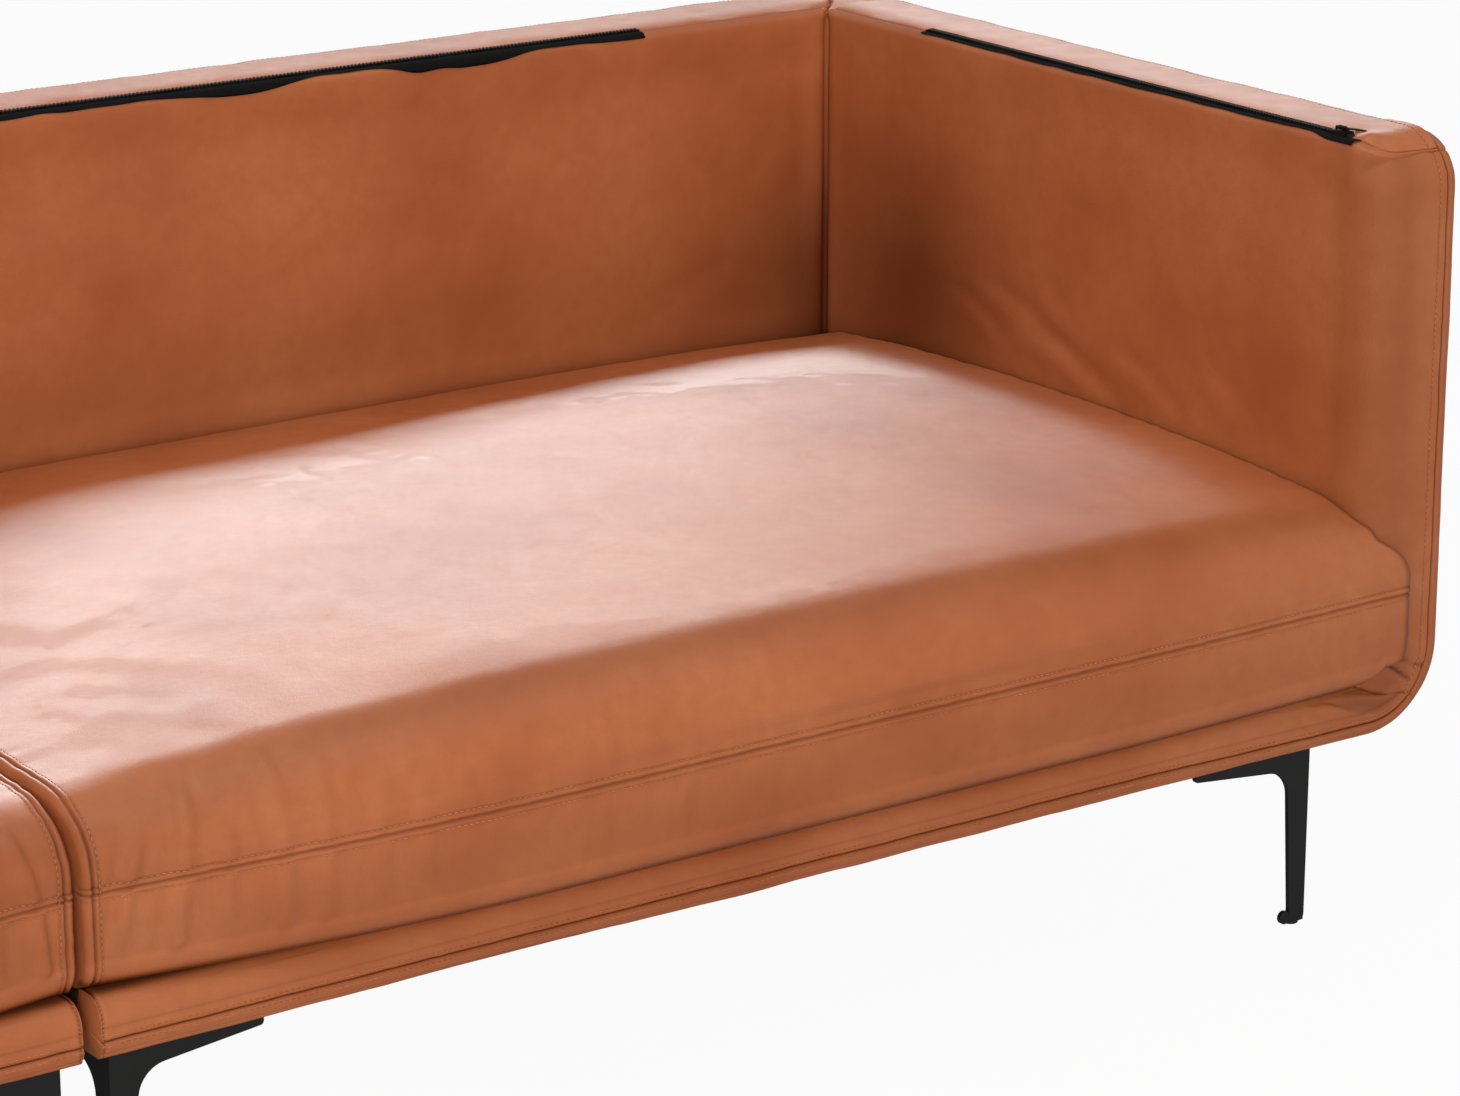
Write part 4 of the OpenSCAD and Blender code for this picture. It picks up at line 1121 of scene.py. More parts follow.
def billow(base, hold):
    """Cloth simulation of the cushion's leather: how far each point moves from base."""
    rows, cols = base.shape[:2]
    points = base.reshape(-1, 3)
    index = np.arange(rows * cols).reshape(rows, cols)
    faces = grid_quads(index, True).reshape(-1, 4)[:, ::-1]
    obj = build_object("billow", points, faces, LEATHER)
    group = obj.vertex_groups.new(name="hold")
    flat = hold.reshape(-1)
    for level in np.unique(np.round(flat, 2)):
        ids = np.nonzero(np.round(flat, 2) == level)[0].tolist()
        if level > 0:
            group.add(ids, float(level), "REPLACE")
    cloth = obj.modifiers.new("cloth", "CLOTH")
    for key, value in CLOTH.items():
        setattr(cloth.settings, key, value)
    cloth.settings.effector_weights.gravity = 0
    cloth.collision_settings.use_collision = False
    scene = bpy.context.scene
    for step in range(1, CLOTH_STEPS + 1):
        scene.frame_set(step)
    shape = obj.evaluated_get(bpy.context.evaluated_depsgraph_get()).to_mesh()
    moved = np.zeros(rows * cols * 3, np.float32)
    shape.vertices.foreach_get("co", moved)
    moved = moved.reshape(-1, 3) / MM
    bpy.data.objects.remove(obj)
    scene.frame_set(1)
    return (moved - points).reshape(rows, cols, 3)


def resample(field, at, axis, wrap):
    """Smooth interpolation of field at fractional indices along one axis."""
    n = field.shape[axis]
    low = np.floor(at).astype(int)
    shape = [1] * field.ndim
    shape[axis] = len(at)
    t = (at - low).reshape(shape)

    def take(offset):
        ids = (low + offset) % n if wrap else np.clip(low + offset, 0, n - 1)
        return np.take(field, ids, axis=axis)

    p0, p1, p2, p3 = take(-1), take(0), take(1), take(2)
    return p1 + 0.5 * t * (p2 - p0 + t * (2 * p0 - 5 * p1 + 4 * p2 - p3 + t * (3 * (p1 - p2) + p3 - p0)))


# Distance of the end seams from the cushion's ends
SEAM_IN = 8.0
# Rows of stitches beside the front seam, above and below it, and beside the end seams
ROW_UP, ROW_DOWN, ROW_SIDE = 5.4, 4.6, 5.0
EDGE_ROUND = 4.5
BODY_W = CUSH_X1 - CUSH_X0 - 2 * DOME
COARSE_S = np.linspace(0, 1, 136)
COARSE_TAU = section_taus(1)

# Shares of the simulated movement that are kept: of its broad part, and of the softened wrinkles
BROAD_SHARE, WRINKLE_SHARE = 0.35, 0.1


def blurred(field, passes):
    """The broad part of a field over stations and section, which closes round the section."""
    out = field.copy()
    for _ in range(passes):
        wide = np.concatenate([out[:1], out, out[-1:]])
        out = 0.25 * wide[:-2] + 0.5 * out + 0.25 * wide[2:]
        out = 0.25 * np.roll(out, 1, axis=1) + 0.5 * out + 0.25 * np.roll(out, -1, axis=1)
    return out


def cushion_movement():
    """How far the simulated leather moves, on the coarse grid."""
    base = cushion_points(COARSE_S, COARSE_TAU)
    ss, tt = np.meshgrid(COARSE_S, COARSE_TAU, indexing="ij")
    edge = np.minimum(ss, 1 - ss) * BODY_W
    hold = np.where(edge <= SEAM_IN, 1.0, 0.0)
    hold = np.where((tt >= 1.8) & (tt <= 3.4), 1.0, hold)
    hold = np.where(tt == 0, 1.0, hold)
    move = billow(base, hold)
    broad = blurred(move, 60)
    calm = smooth((edge - SEAM_IN) / 30)[..., None]
    return BROAD_SHARE * broad + WRINKLE_SHARE * calm * blurred(move - broad, 3)


MOVEMENT = cushion_movement()
MOVE_CAP = 12.0
# Lengths of the lower and of the upper front, from the seam
LOW_RUN, HIGH_RUN = CUSH_SEAM_Z - CUSH_Z0 - LOW_R, CUSH_EDGE - NOSE_H - CUSH_SEAM_Z
PANEL_DOME = 0.9 * DOME
PANEL_SHARES = (0.985, 0.965, 0.935, 0.89, 0.83, 0.75, 0.64, 0.5, 0.34, 0.16)


def fine_stations():
    """Shares of the width, close together at the cushion's ends and their seams."""
    ends = joined([0, 0.8, 1.8, 3, 4.2], near(SEAM_IN, (0.8, 1.6, 2.6)), near(SEAM_IN + ROW_SIDE, (0.8,)),
                  [15.5, 18, 21, 25, 29], steps(34, BODY_W / 2, 5.5))
    return joined(ends, BODY_W - ends) / BODY_W


def fine_taus():
    """Places round the section, close together at the front seam."""
    seam_steps = [0.8, 1.6, 2.6, 3.6, ROW_DOWN - 0.6, ROW_DOWN, ROW_UP, ROW_UP + 0.8, 7.2, 8.6]
    tau = set(np.round(section_taus(2), 6)) | {round(d / LOW_RUN, 6) for d in seam_steps}
    tau |= {round(PARTS - d / HIGH_RUN, 6) for d in seam_steps}
    return np.array(sorted(t for t in tau if t < PARTS))


STATIONS, TAUS = fine_stations(), fine_taus()
# Places round the section counted in steps of the coarse grid
TAU_STEPS = np.interp(TAUS, np.append(COARSE_TAU, PARTS), np.arange(len(COARSE_TAU) + 1))


def fine_movement():
    """The kept movement at the fine grid's places, with no point further than MOVE_CAP."""
    move = resample(MOVEMENT, STATIONS * (len(COARSE_S) - 1), 0, False)
    move = resample(move, TAU_STEPS, 1, True)
    size = np.linalg.norm(move, axis=-1, keepdims=True)
    return move * (MOVE_CAP * np.tanh(size / MOVE_CAP) / np.maximum(size, 1e-9))


def seam_distance(tt):
    """Distance round the section from the front seam, FAR where it is long."""
    drop = np.where(tt < 1, tt * LOW_RUN, np.where(tt >= 8, (PARTS - tt) * HIGH_RUN, FAR))
    drop = np.where((tt >= 7) & (tt < 8), HIGH_RUN + (8 - tt) * 95, drop)
    return np.where((tt >= 1) & (tt < 2), LOW_RUN + (tt - 1) * 38, drop)


def puckers(along, seam, above, low_front, seed):
    """Folds that run up the front from the seam, strongest at the joining end."""
    rng = np.random.RandomState(seed)
    front = smooth(seam / 8) * smooth((150 - seam) / 70) * (above | low_front)
    lift = np.zeros_like(seam)
    x_at = 34.0
    while x_at < 640:
        strength = 5.2 * np.exp(-x_at / 200) + 0.35
        width = rng.uniform(5.0, 9.5)
        lean = rng.uniform(-0.05, 0.32)
        reach = rng.uniform(45, 105)
        here = (along - x_at - lean * np.where(above, seam, -0.6 * seam)) / width
        fade = smooth((reach - seam) / 40)
        lift += strength * (bump(here, 1.0) - 0.55 * bump(np.abs(here) - 1.7, 0.9)) * front * fade
        x_at += rng.uniform(20, 42) * (1 + x_at / 500)
    return lift


def cushion_relief(base, points, seed):
    """Displacement along the normal, and the shade, of the cushion's leather."""
    ss, tt = np.meshgrid(STATIONS, TAUS, indexing="ij")
    shape = ss.shape
    along = ss * BODY_W
    end = np.minimum(along, BODY_W - along)
    seam = seam_distance(tt)
    above = tt > 5
    low_front = tt < 1
    upward = np.where(tt >= 7, seam, -seam)
    lift = -1.6 * bump(seam, 1.0) + 1.0 * bump(upward - 2.6, 1.5) + 0.5 * bump(upward + 3.4, 2.2)
    shade = 0.42 * bump(seam, 0.75) + 0.08 * bump(seam, 4.5)
    bed, bed_shade = stitch_bed(upward - ROW_UP)
    low_bed, low_shade = stitch_bed(upward + ROW_DOWN)
    lift += bed + low_bed
    shade += bed_shade + 0.2 * low_shade
    # painted shade along the crest, on the lower front below the seam and on the top towards the back
    shade += 0.26 * bump(base[..., 1] + 417, 24) * above
    shade += 0.14 * smooth(seam / 40) * low_front
    shade += 0.4 * np.exp((base[..., 1] - CUSH_Y1) / 60) * above
    # the shadow where the cushion rests on the rail, and at its end beside the arm
    shade += 0.85 * smooth((seam - LOW_RUN - 12) / 10) * ((tt >= 1) & (tt < 2))
    shade += 0.6 * smooth((6.5 - end) / 5) * (ss > 0.5)
    # the seam round the joining end
    side_seam = end - SEAM_IN
    joining = ss < 0.5
    bed, bed_shade = stitch_bed(side_seam - ROW_SIDE)
    lift += joining * (bed - 1.9 * bump(side_seam, 1.2) + 1.2 * bump(side_seam + 3.2, 2.2)
                       + 0.7 * bump(side_seam - 3.2, 2.2))
    shade += joining * (bed_shade + 0.5 * bump(side_seam, 0.9) + 0.12 * bump(side_seam, 4.5))
    rounding = np.clip(1 - end / EDGE_ROUND, 0, 1)
    lift -= EDGE_ROUND * (1 - np.sqrt(1 - 0.9 * rounding ** 2))
    # small gathers along the seams
    tight, finer = (line_noise(along.reshape(-1), size, seed + n).reshape(shape)
                    for n, size in ((1, 8.5), (2, 5.0)))
    lift += (0.5 * tight + 0.25 * finer) * np.exp(-seam / 12)
    round_at = np.broadcast_to(TAU_STEPS * 9.0, shape).reshape(-1)
    lift += 0.6 * line_noise(round_at, 9.0, seed + 3).reshape(shape) * np.exp(-np.abs(side_seam) / 12)
    lift += puckers(along, seam, above, low_front, seed)
    # soft wrinkles on the top near the joining end, and broad dents where people sit
    on_top = (tt >= 5.5) & (tt < 8)
    sizes = ((260, 200, 300), (90, 70, 200), (28, 36, 100), 11)
    broad, mild, small, fine = (noise(points, size, seed + 5 + i).reshape(shape)
                                for i, size in enumerate(sizes))
    inner_mask = smooth((end - 14) / 60)
    lift += on_top * inner_mask * (1.3 * broad + 0.25 * mild)
    near_join = np.exp(-along / 260)
    lift += inner_mask * (0.12 + 0.45 * near_join) * small * (on_top | low_front) + 0.06 * fine
    return np.where((tt > 1.6) & (tt < 3.2), 0.0, lift), np.clip(shade, 0, 1)


def end_panel(rim, way, ids, start):
    """Domed end of the cushion: the points of rings that shrink to a pole, and the faces."""
    n = len(rim)
    middle = np.array([CUSH_X0 + DOME if way < 0 else CUSH_X1 - DOME, (Y_FRONT + CUSH_Y1) / 2,
                       rim[:, 2].mean() + 6])
    rings = []
    for q in PANEL_SHARES:
        ring = middle + (rim - middle) * q
        ring[:, 0] = rim[:, 0] + way * PANEL_DOME * (1 - q ** 8) ** 0.5
        if way > 0:
            ring[:, 0] += flare_at(ring[:, 1]) - flare_at(rim[:, 1])
        rings.append(ring)
    pole = start + n * len(rings)
    faces = fan(np.append(ids, np.arange(start, pole)).reshape(-1, n), pole)
    points = np.concatenate(rings + [[middle + np.array([way * PANEL_DOME, 0, 0])]])
    return points, faces if way < 0 else [f[::-1] for f in faces]


def cushion_module(side, k):
    body = f"seat_cushion_{side}"
    base = cushion_points(STATIONS, TAUS)
    flat = (base + fine_movement()).reshape(-1, 3)
    rows, cols = base.shape[:2]
    index = np.arange(rows * cols).reshape(rows, cols)
    quads, = facing(flat, index[rows // 2, int(0.6 * cols)], 2, 1, joint_quads(grid_quads(index, True)))
    lift, shade = cushion_relief(base, flat, SEEDS[side]["cushion"])
    flat = flat + normals(flat, quads) * lift.reshape(-1, 1)
    flat[:, 1] = np.minimum(flat[:, 1], CUSH_Y1)
    flat[:, 2] = np.maximum(flat[:, 2], CUSH_Z0)
    # no point passes the end's plane, apart from the swelling in front of the arm
    swelling = base[..., 0] - (CUSH_X0 + DOME + STATIONS[:, None] * BODY_W)
    limit = np.maximum(CUSH_X1 - DOME + swelling, CUSH_X1 - 1).reshape(-1)
    flat[:, 0] = np.clip(flat[:, 0], CUSH_X0 + 1, limit)
    out = normals(flat, quads)

    faces = list(quads)
    parts, tones = [flat], [shade.reshape(-1)]
    for row, way in ((0, -1), (rows - 1, 1)):
        panel, panel_faces = end_panel(flat[index[row]], way, index[row], sum(map(len, parts)))
        parts.append(panel)
        faces += panel_faces
        tones.append(np.append(np.full(len(panel) - 1, 0.08), 0.0))
    obj = piece(f"seat_cushion_leather_{side}", np.concatenate(parts), faces, LEATHER, k, body,
                "leather", (f"cushion_cover_{side}", f"cushion_core_{side}"), np.concatenate(tones))

    first = nearest(STATIONS * BODY_W, SEAM_IN + ROW_SIDE)
    places = [index[first: rows - first, nearest(TAUS, tau)]
              for tau in (PARTS - ROW_UP / HIGH_RUN, ROW_DOWN / LOW_RUN)]
    round_end = np.append(np.nonzero(TAUS > 4.5), np.nonzero(TAUS < 1.6))
    places.append(index[first, round_end])
    thread_piece(f"cushion_stitches_{side}", k, body, [stitch_row(flat[ids], out[ids]) for ids in places])


# ---------------------------------------------------------------- zips

TAPE_LIFT, TAPE_T, TEETH_PITCH = 1.4, 0.6, 4.0
# Flat part of the tape, as (inset, height), and the shares of its hanging part
TAPE_FLAT = ((12.0, 0.3), (11.2, 0.8), (8.6, 0.9), (7.2, 1.2))
HANG_SHARES = (0.0, 0.15, 0.32, 0.5, 0.68, 0.85, 1.0)
# Insets of the short teeth beside the edge and of the long ones beside the band
SHORT_TOOTH, LONG_TOOTH = (BAND - 2.6, BAND + 1.2), (BAND - 0.9, BAND + 5.4)


def zip_tape(name, side, k, place, length, tab, lap):
    """Tape of a zip, which lies beside the teeth and hangs over the edge by lap."""
    seed = SEEDS[side][name]
    us = np.array(steps(-tab, length, 3.0))
    least, more, at_slider = lap
    hang = least + more * smooth(0.5 + 0.5 * line_noise(us, 110.0, seed))
    hang += 0.8 * line_noise(us, 26.0, seed + 1)
    hang += (at_slider - hang) * smooth((45 - us) / 30)
    wave = 0.5 * line_noise(us, 40.0, seed + 2)
    columns = [[place(u, e + w, h) for u, w in zip(us, wave)] for e, h in TAPE_FLAT]
    r = INNER_R + TAPE_LIFT
    quarter = r * math.pi / 2
    for share in HANG_SHARES:
        column = []
        for u, run in zip(us, hang * share):
            turn = min(run, quarter) / r
            down = max(run - quarter, 0.0)
            column.append(place(u, INNER_R - r * math.sin(turn), r * math.cos(turn) - INNER_R - down))
        columns.append(column)
    grid = np.array(columns).transpose(1, 0, 2)
    rows, cols = grid.shape[:2]
    index = np.arange(rows * cols).reshape(rows, cols)
    flat = grid.reshape(-1, 3)
    quads, = facing(flat, index[rows // 2, 2], 2, 1, joint_quads(grid_quads(index)))
    tape = piece(f"{name}_tape_{side}", flat, quads, MATERIALS["zip"], k, "frame", "zip",
                 (f"zip_tapes_{side}",))
    thicken(tape, TAPE_T)


def zip_teeth(name, side, k, place, length):
    """Teeth and end stops of a zip, in one piece."""
    blocks = []
    for i in range(int(length / TEETH_PITCH)):
        for way, (near_side, far_side) in ((-1, SHORT_TOOTH), (1, LONG_TOOTH)):
            mid = (i + 0.5) * TEETH_PITCH + way * TEETH_PITCH / 4
            blocks.append(((near_side, mid - 0.7, 0.7), (far_side, mid + 0.7, 3.3)))
    for u in (0.0, length - 3.0):
        blocks.append(((BAND - 4, u, 0.8), (BAND + 4, u + 2.6, 3.1)))
    parts = []
    for low, high in blocks:
        points, faces = brick(low, high)
        parts.append((np.array([place(u, e, h) for e, u, h in points]), faces))
    piece(f"{name}_teeth_{side}", *merged(parts), TEETH, k, "frame", "zip", (f"zip_tapes_{side}",),
          smooth_faces=False)


def zips(side, k):
    """The two zips. place(u, e, h) puts the length u, the inset e and the height h.

    Each tape's lap is its least, its variation, and what it is at the slider.
    """
    def arm_place(u, e, h):
        return X_ARM + e, Y_FRONT + ARM_ZIP[0] + u, Z_TOP + h

    def back_place(u, e, h):
        return BACK_ZIP[0] + u, Y_BACK + e, Z_TOP + h

    for name, place, (start, end), tab, lap in (
            ("arm_zip", arm_place, ARM_ZIP, 13.0, (2.0, 1.8, 8.0)),
            ("back_zip", back_place, BACK_ZIP, 6.0, (4.0, 10.0, 7.0))):
        zip_tape(name, side, k, place, end - start, tab, lap)
        zip_teeth(name, side, k, place, end - start)


# ---------------------------------------------------------------- deck and underside


# Straps of the seat: width, thickness, and the outline of a section as (share of width, level)
STRAP_W, STRAP_T = 60.0, 1.9
STRAP_RING = ((0, 0), (0.03, 1), (0.97, 1), (1, 0), (0.97, -1), (0.03, -1))
ACROSS_Z, ALONG_Z = Z_DECK - 2, Z_DECK - 4


def strap(run, side_at, width, z, along_x, seed):
    """Points and faces of one strap over the run, with one side at side_at."""
    us = np.array(steps(run[0], run[1], 12.0))
    sag = -0.5 * np.sin(np.pi * (us - us[0]) / (us[-1] - us[0]))
    heights = z + STRAP_T / 2 + sag + 0.15 * line_noise(us, 60.0, seed)
    grid = []
    for u, height in zip(us, heights):
        for share, level in STRAP_RING:
            v = side_at + width * share
            h = height + level * (STRAP_T / 2 - 0.1)
            grid.append((u, v, h) if along_x else (v, u, h))
    index = np.arange(len(grid)).reshape(-1, len(STRAP_RING))
    faces = [*joint_quads(grid_quads(index, True)), index[0], index[-1][::-1]]
    return np.array(grid), faces if along_x else [f[::-1] for f in faces]


def webbing(side, k):
    run_x, run_y = (X_JOIN + 2, X_BASE), (Y_FRONT + TUCK_D, LEDGE_Y + 30)
    parts = []
    for i in range(8):
        x = run_x[0] + (X_ARM - run_x[0]) * (i + 0.5) / 8 - STRAP_W / 2
        parts.append(strap(run_y, x, STRAP_W, ACROSS_Z, False, 70 + i))
    for i in range(3):
        y = Y_FRONT + RAIL_D + (LEDGE_Y - Y_FRONT - RAIL_D) * (i + 0.5) / 3 - STRAP_W / 2
        parts.append(strap(run_x, y, STRAP_W, ALONG_Z, True, 80 + i))
    for y in (run_y[0], LEDGE_Y):
        parts.append(strap(run_x, y, STRAP_W / 2, ALONG_Z, True, 85))
    piece(f"seat_straps_{side}", *merged(parts), MATERIALS["webbing"], k, "frame", "webbing",
          (f"seat_webbing_{side}",), smooth_faces=False)


SHEET_Y = (Y_FRONT + RAIL_D, Y_REAR - 30)
# The dust sheet hangs lower over this area: its start and its size along X and Y
SAG_FROM, SAG_SIZE, SAG = (160, -270), (920, 560), 5.0


def dust_sheet(side, k):
    xs, ys = np.array(steps(X_JOIN, X_BASE, 14)), np.array(steps(*SHEET_Y, 14))
    flat = param_grid(xs[:, None], ys[None], 0.0).reshape(-1, 3)
    shares = [np.clip((flat[:, c] - SAG_FROM[c]) / SAG_SIZE[c], 0, 1) for c in (0, 1)]
    away = np.sin(np.pi * shares[0]) * np.sin(np.pi * shares[1])
    flat[:, 2] = Z_BASE + 1.0 - SAG * away + 0.5 * noise(flat, 60, 91) * away
    index = np.arange(len(flat)).reshape(len(xs), len(ys))
    obj = piece(f"dust_sheet_{side}", flat, joint_quads(grid_quads(index)), MATERIALS["lining"], k,
                "frame", "lining", (f"dust_cover_{side}",))
    obj.modifiers.new("cloth", "SOLIDIFY").thickness = 0.6 * MM


# ---------------------------------------------------------------- legs

# Fins: thickness, length along the base, widths low and high, heights at the root and the tip
LEG_T, FIN_L, LEG_LOW, LEG_HIGH, ROOT_H, TIP_H, FILLET = 5.0, 133.0, 18.0, 24.0, 19.0, 10.5, 26.0
# The foot's lip stands out as a round toe
LEG_FOOT, TOE_R, GLIDE_H = 28.0, 6.0, 3.0
PLATE_L, PLATE_T, CHAMFER = 126.0, 4.0, 0.45
# Name, corner (X, Y), and which way the fins run along X and Y
LEG_PLACES = (("front_inner", 20.0, -422.5, 1, 1), ("front_outer", 1215.0, -422.5, -1, 1),
              ("rear_outer", 1215.0, 447.5, -1, -1), ("rear_inner", 20.0, 447.5, 1, -1))


def arc(cx, cz, r, start, end, n):
    turns = np.radians(np.linspace(start, end, n + 1))
    return [(cx + r * math.cos(t), cz + r * math.sin(t)) for t in turns]


def fin_outline(toe, start):
    low, high = GLIDE_H, Z_BASE
    if toe:
        foot = arc(6, low + 6, 6, 180, 270, 6) + arc(LEG_FOOT - TOE_R, low + TOE_R, TOE_R, 270, 490, 16)
        foot += [(LEG_LOW, low + 2 * TOE_R + 1.5)]
    else:
        foot = [(start, low + 1)] + arc(LEG_LOW - 5, low + 6, 5, 270, 360, 5)
    bend = arc(LEG_HIGH + FILLET, high - ROOT_H - FILLET, FILLET, 180, 94, 12)
    tip = arc(FIN_L - 3.5, high - TIP_H + 3.5, 3.5, 268, 360, 5)
    return foot + bend + tip + [(FIN_L, high), (start, high)]


def slab(outline, thick, place):
    """Points and faces of a plate with chamfered edges; place(u, v, depth) puts a point."""
    flat = np.array(outline)
    ahead, behind = np.roll(flat, -1, axis=0) - flat, flat - np.roll(flat, 1, axis=0)
    way = ahead / np.linalg.norm(ahead, axis=1, keepdims=True)
    way = way + behind / np.linalg.norm(behind, axis=1, keepdims=True)
    way /= np.linalg.norm(way, axis=1, keepdims=True)
    inset = flat + CHAMFER * np.stack([-way[:, 1], way[:, 0]], axis=1)
    rings = ((inset, 0.0), (flat, CHAMFER), (flat, thick - CHAMFER), (inset, thick))
    points = np.array([place(u, v, depth) for ring, depth in rings for u, v in ring])
    n = len(flat)
    faces = [(r * n + i, r * n + (i + 1) % n, (r + 1) * n + (i + 1) % n, (r + 1) * n + i)
             for r in range(3) for i in range(n)]
    faces += [tuple(range(n))[::-1], tuple(range(3 * n, 4 * n))]
    volume = sum(np.dot(points[f[0]], np.cross(points[f[i]], points[f[i + 1]]))
                 for f in faces for i in range(1, len(f) - 1))
    return points, faces if volume > 0 else [f[::-1] for f in faces]


def standing(corner, along_y=False):
    """Places of a fin that runs along X, or along Y, from a leg's corner."""
    cx, cy, sx, sy = corner

    def place(u, v, depth):
        if along_y:
            return cx + sx * depth, cy + sy * u, v
        return cx + sx * u, cy + sy * depth, v

    return place


def lying(corner, height):
    """Places of a level plate whose underside is at the height, from a leg's corner."""
    cx, cy, sx, sy = corner

    def place(u, v, depth):
        return cx + sx * u, cy + sy * v, height + depth

    return place


def legs(side, k):
    inner, pad_end = LEG_T - 0.3, LEG_LOW - 3
    plate = [(inner, inner), (PLATE_L, inner), (inner, PLATE_L)]
    pad = [(0.6, 0.6), (pad_end, 0.6), (pad_end, pad_end), (0.6, pad_end)]
    discs = []
    for name, *corner in LEG_PLACES:
        parts = [slab(fin_outline(True, 0.0), LEG_T, standing(corner)),
                 slab(fin_outline(False, inner), LEG_T, standing(corner, True)),
                 slab(plate, PLATE_T, lying(corner, Z_BASE - PLATE_T)),
                 slab(pad, GLIDE_H, lying(corner, GLIDE_H))]
        piece(f"{name}_leg_metal_{side}", *merged(parts), MATERIALS["leg_metal"], k, "frame",
              "leg_metal", (f"{name}_leg_{side}",), smooth_faces=False)
        discs.append(slab(arc(8.5, 8.5, 7.0, 0, 345, 23), GLIDE_H + 0.2, lying(corner, 0.0)))
    piece(f"glides_{side}", *merged(discs), MATERIALS["glide"], k, "frame", "glide", ("leg_glides",),
          smooth_faces=False)


# ---------------------------------------------------------------- carried-over CAD nodes

NODE_SLOTS = {
    "long_rails": "timber", "cross_rails": "timber", "frame_posts": "timber", "top_rails": "timber",
    "arm_panels": "board", "back_panels": "board", "leg_boards": "board",
    "arm_zip_slider": "zip_metal", "arm_zip_pull": "zip_metal", "back_zip_slider": "zip_metal",
    "back_zip_pull": "zip_metal", "leg_screws": "steel", "joining_bolts": "steel",
    "joining_spacers": "rubber",
}
BEVELS = {"zip_metal": 0.35, "timber": 1.5, "board": 0.5, "steel": 0.3, "rubber": 0.5}


def dress_nodes():
    for name, obj in cad_nodes.items():
        base = name.replace("_left", "").replace("_right", "")
        slot = NODE_SLOTS.get(base)
        if slot is None:
            continue
        obj.data.materials.clear()
        obj.data.materials.append(MATERIALS[slot])
        bevel = obj.modifiers.new("edges", "BEVEL")
        bevel.width = BEVELS[slot] * MM
        bevel.segments = 2
        bevel.limit_method = "ANGLE"
        bevel.angle_limit = math.radians(38)
        bevel.harden_normals = False


# ---------------------------------------------------------------- stage


# Half the floor's side in metres, and how much of its look to the camera is plain white
FLOOR_HALF, FLOOR_WHITE = 9.0, 0.95
# Brightness of the world for everything but the camera
WORLD_LEVEL = 0.44


def quad_object(name, corners, material):
    """A single face on the stage, with corners in metres."""
    mesh = bpy.data.meshes.new(name)
    mesh.from_pydata(corners, [], [(0, 1, 2, 3)])
    mesh.materials.append(material)
    obj = bpy.data.objects.new(name, mesh)
    bpy.context.scene.collection.objects.link(obj)
    return obj


def stage():
    m = Paint("floor")
    m.link(m.ramp(m.noise(1.5), ((0.3, (0.60, 0.60, 0.60)), (0.7, (0.64, 0.64, 0.64)))),
           m.shader.inputs["Base Color"])
    m.shader.inputs["Roughness"].default_value = 0.7
    glow = m.node("ShaderNodeEmission", Strength=1.0)
    rays = m.node("ShaderNodeLightPath")
    share = m.maths("MULTIPLY", rays.outputs["Is Camera Ray"], FLOOR_WHITE)
    both = m.node("ShaderNodeMixShader")
    m.link(share, both.inputs[0])
    m.link(m.shader.outputs["BSDF"], both.inputs[1])
    m.link(glow.outputs["Emission"], both.inputs[2])
    m.link(both.outputs["Shader"], m.tree.nodes["Material Output"].inputs["Surface"])
    r = FLOOR_HALF
    quad_object("floor", [(-r, -r, 0), (r, -r, 0), (r, r, 0), (-r, r, 0)], m.material)


def world():
    w = bpy.data.worlds.new("studio")
    bpy.context.scene.world = w
    w.use_nodes = True
    tree = w.node_tree
    back = tree.nodes["Background"]
    back.inputs["Color"].default_value = (1.0, 0.985, 0.97, 1.0)
    rays = tree.nodes.new("ShaderNodeLightPath")
    seen = tree.nodes.new("ShaderNodeMath")
    seen.operation = "MAXIMUM"
    tree.links.new(rays.outputs["Is Camera Ray"], seen.inputs[0])
    tree.links.new(rays.outputs["Is Transmission Ray"], seen.inputs[1])
    level = tree.nodes.new("ShaderNodeMapRange")
    level.inputs["To Min"].default_value = WORLD_LEVEL
    level.inputs["To Max"].default_value = 1.0
    tree.links.new(seen.outputs["Value"], level.inputs["Value"])
    tree.links.new(level.outputs["Result"], back.inputs["Strength"])


# Lamps of the room: place, aim and size in metres, and power
KEY_LAMP = ((-2.0, -5.0, 1.5), (0.3, 0.0, 0.4), (3.4, 2.0), 148)
TOP_LAMP = ((0.2, -0.9, 3.8), (0.2, 0.0, 0.3), (3.5, 2.0), 30)


def lamp(name, place, aim, size, power):
    data = bpy.data.lights.new(name, "AREA")
    data.shape = "RECTANGLE"
    data.size, data.size_y = size
    data.energy = power
    obj = bpy.data.objects.new(name, data)
    obj.location = place
    obj.rotation_euler = (Vector(aim) - Vector(place)).to_track_quat("-Z", "Y").to_euler()
    bpy.context.scene.collection.objects.link(obj)
    obj.visible_camera = False
    return obj


# A low bright backdrop behind the sofa is reflected as the sheen of the seat and of the top bands.
# Strips of the seat's backdrop: bearings from and to, height of the top, and brightness
SHEEN_STRIPS = ((8.0, 22.0, 26.3, 1.0), (22.0, 29.0, 24.4, 1.0), (29.0, 35.0, 22.4, 1.05),
                (35.0, 40.0, 20.6, 1.2), (40.0, 44.0, 18.8, 1.0), (44.0, 48.0, 17.0, 0.45))
# Heights of the strips' lower edge and of the bands' backdrops, in degrees, and their distance
SHEEN_LOW, SHEEN_TOP, SHEEN_AWAY = 11.5, 26.5, 6.0
SHEEN_AIM = (0.5, 0.0, 0.4)
# Power per square metre of the seat's backdrop
SHEEN_SEAT = 62.0
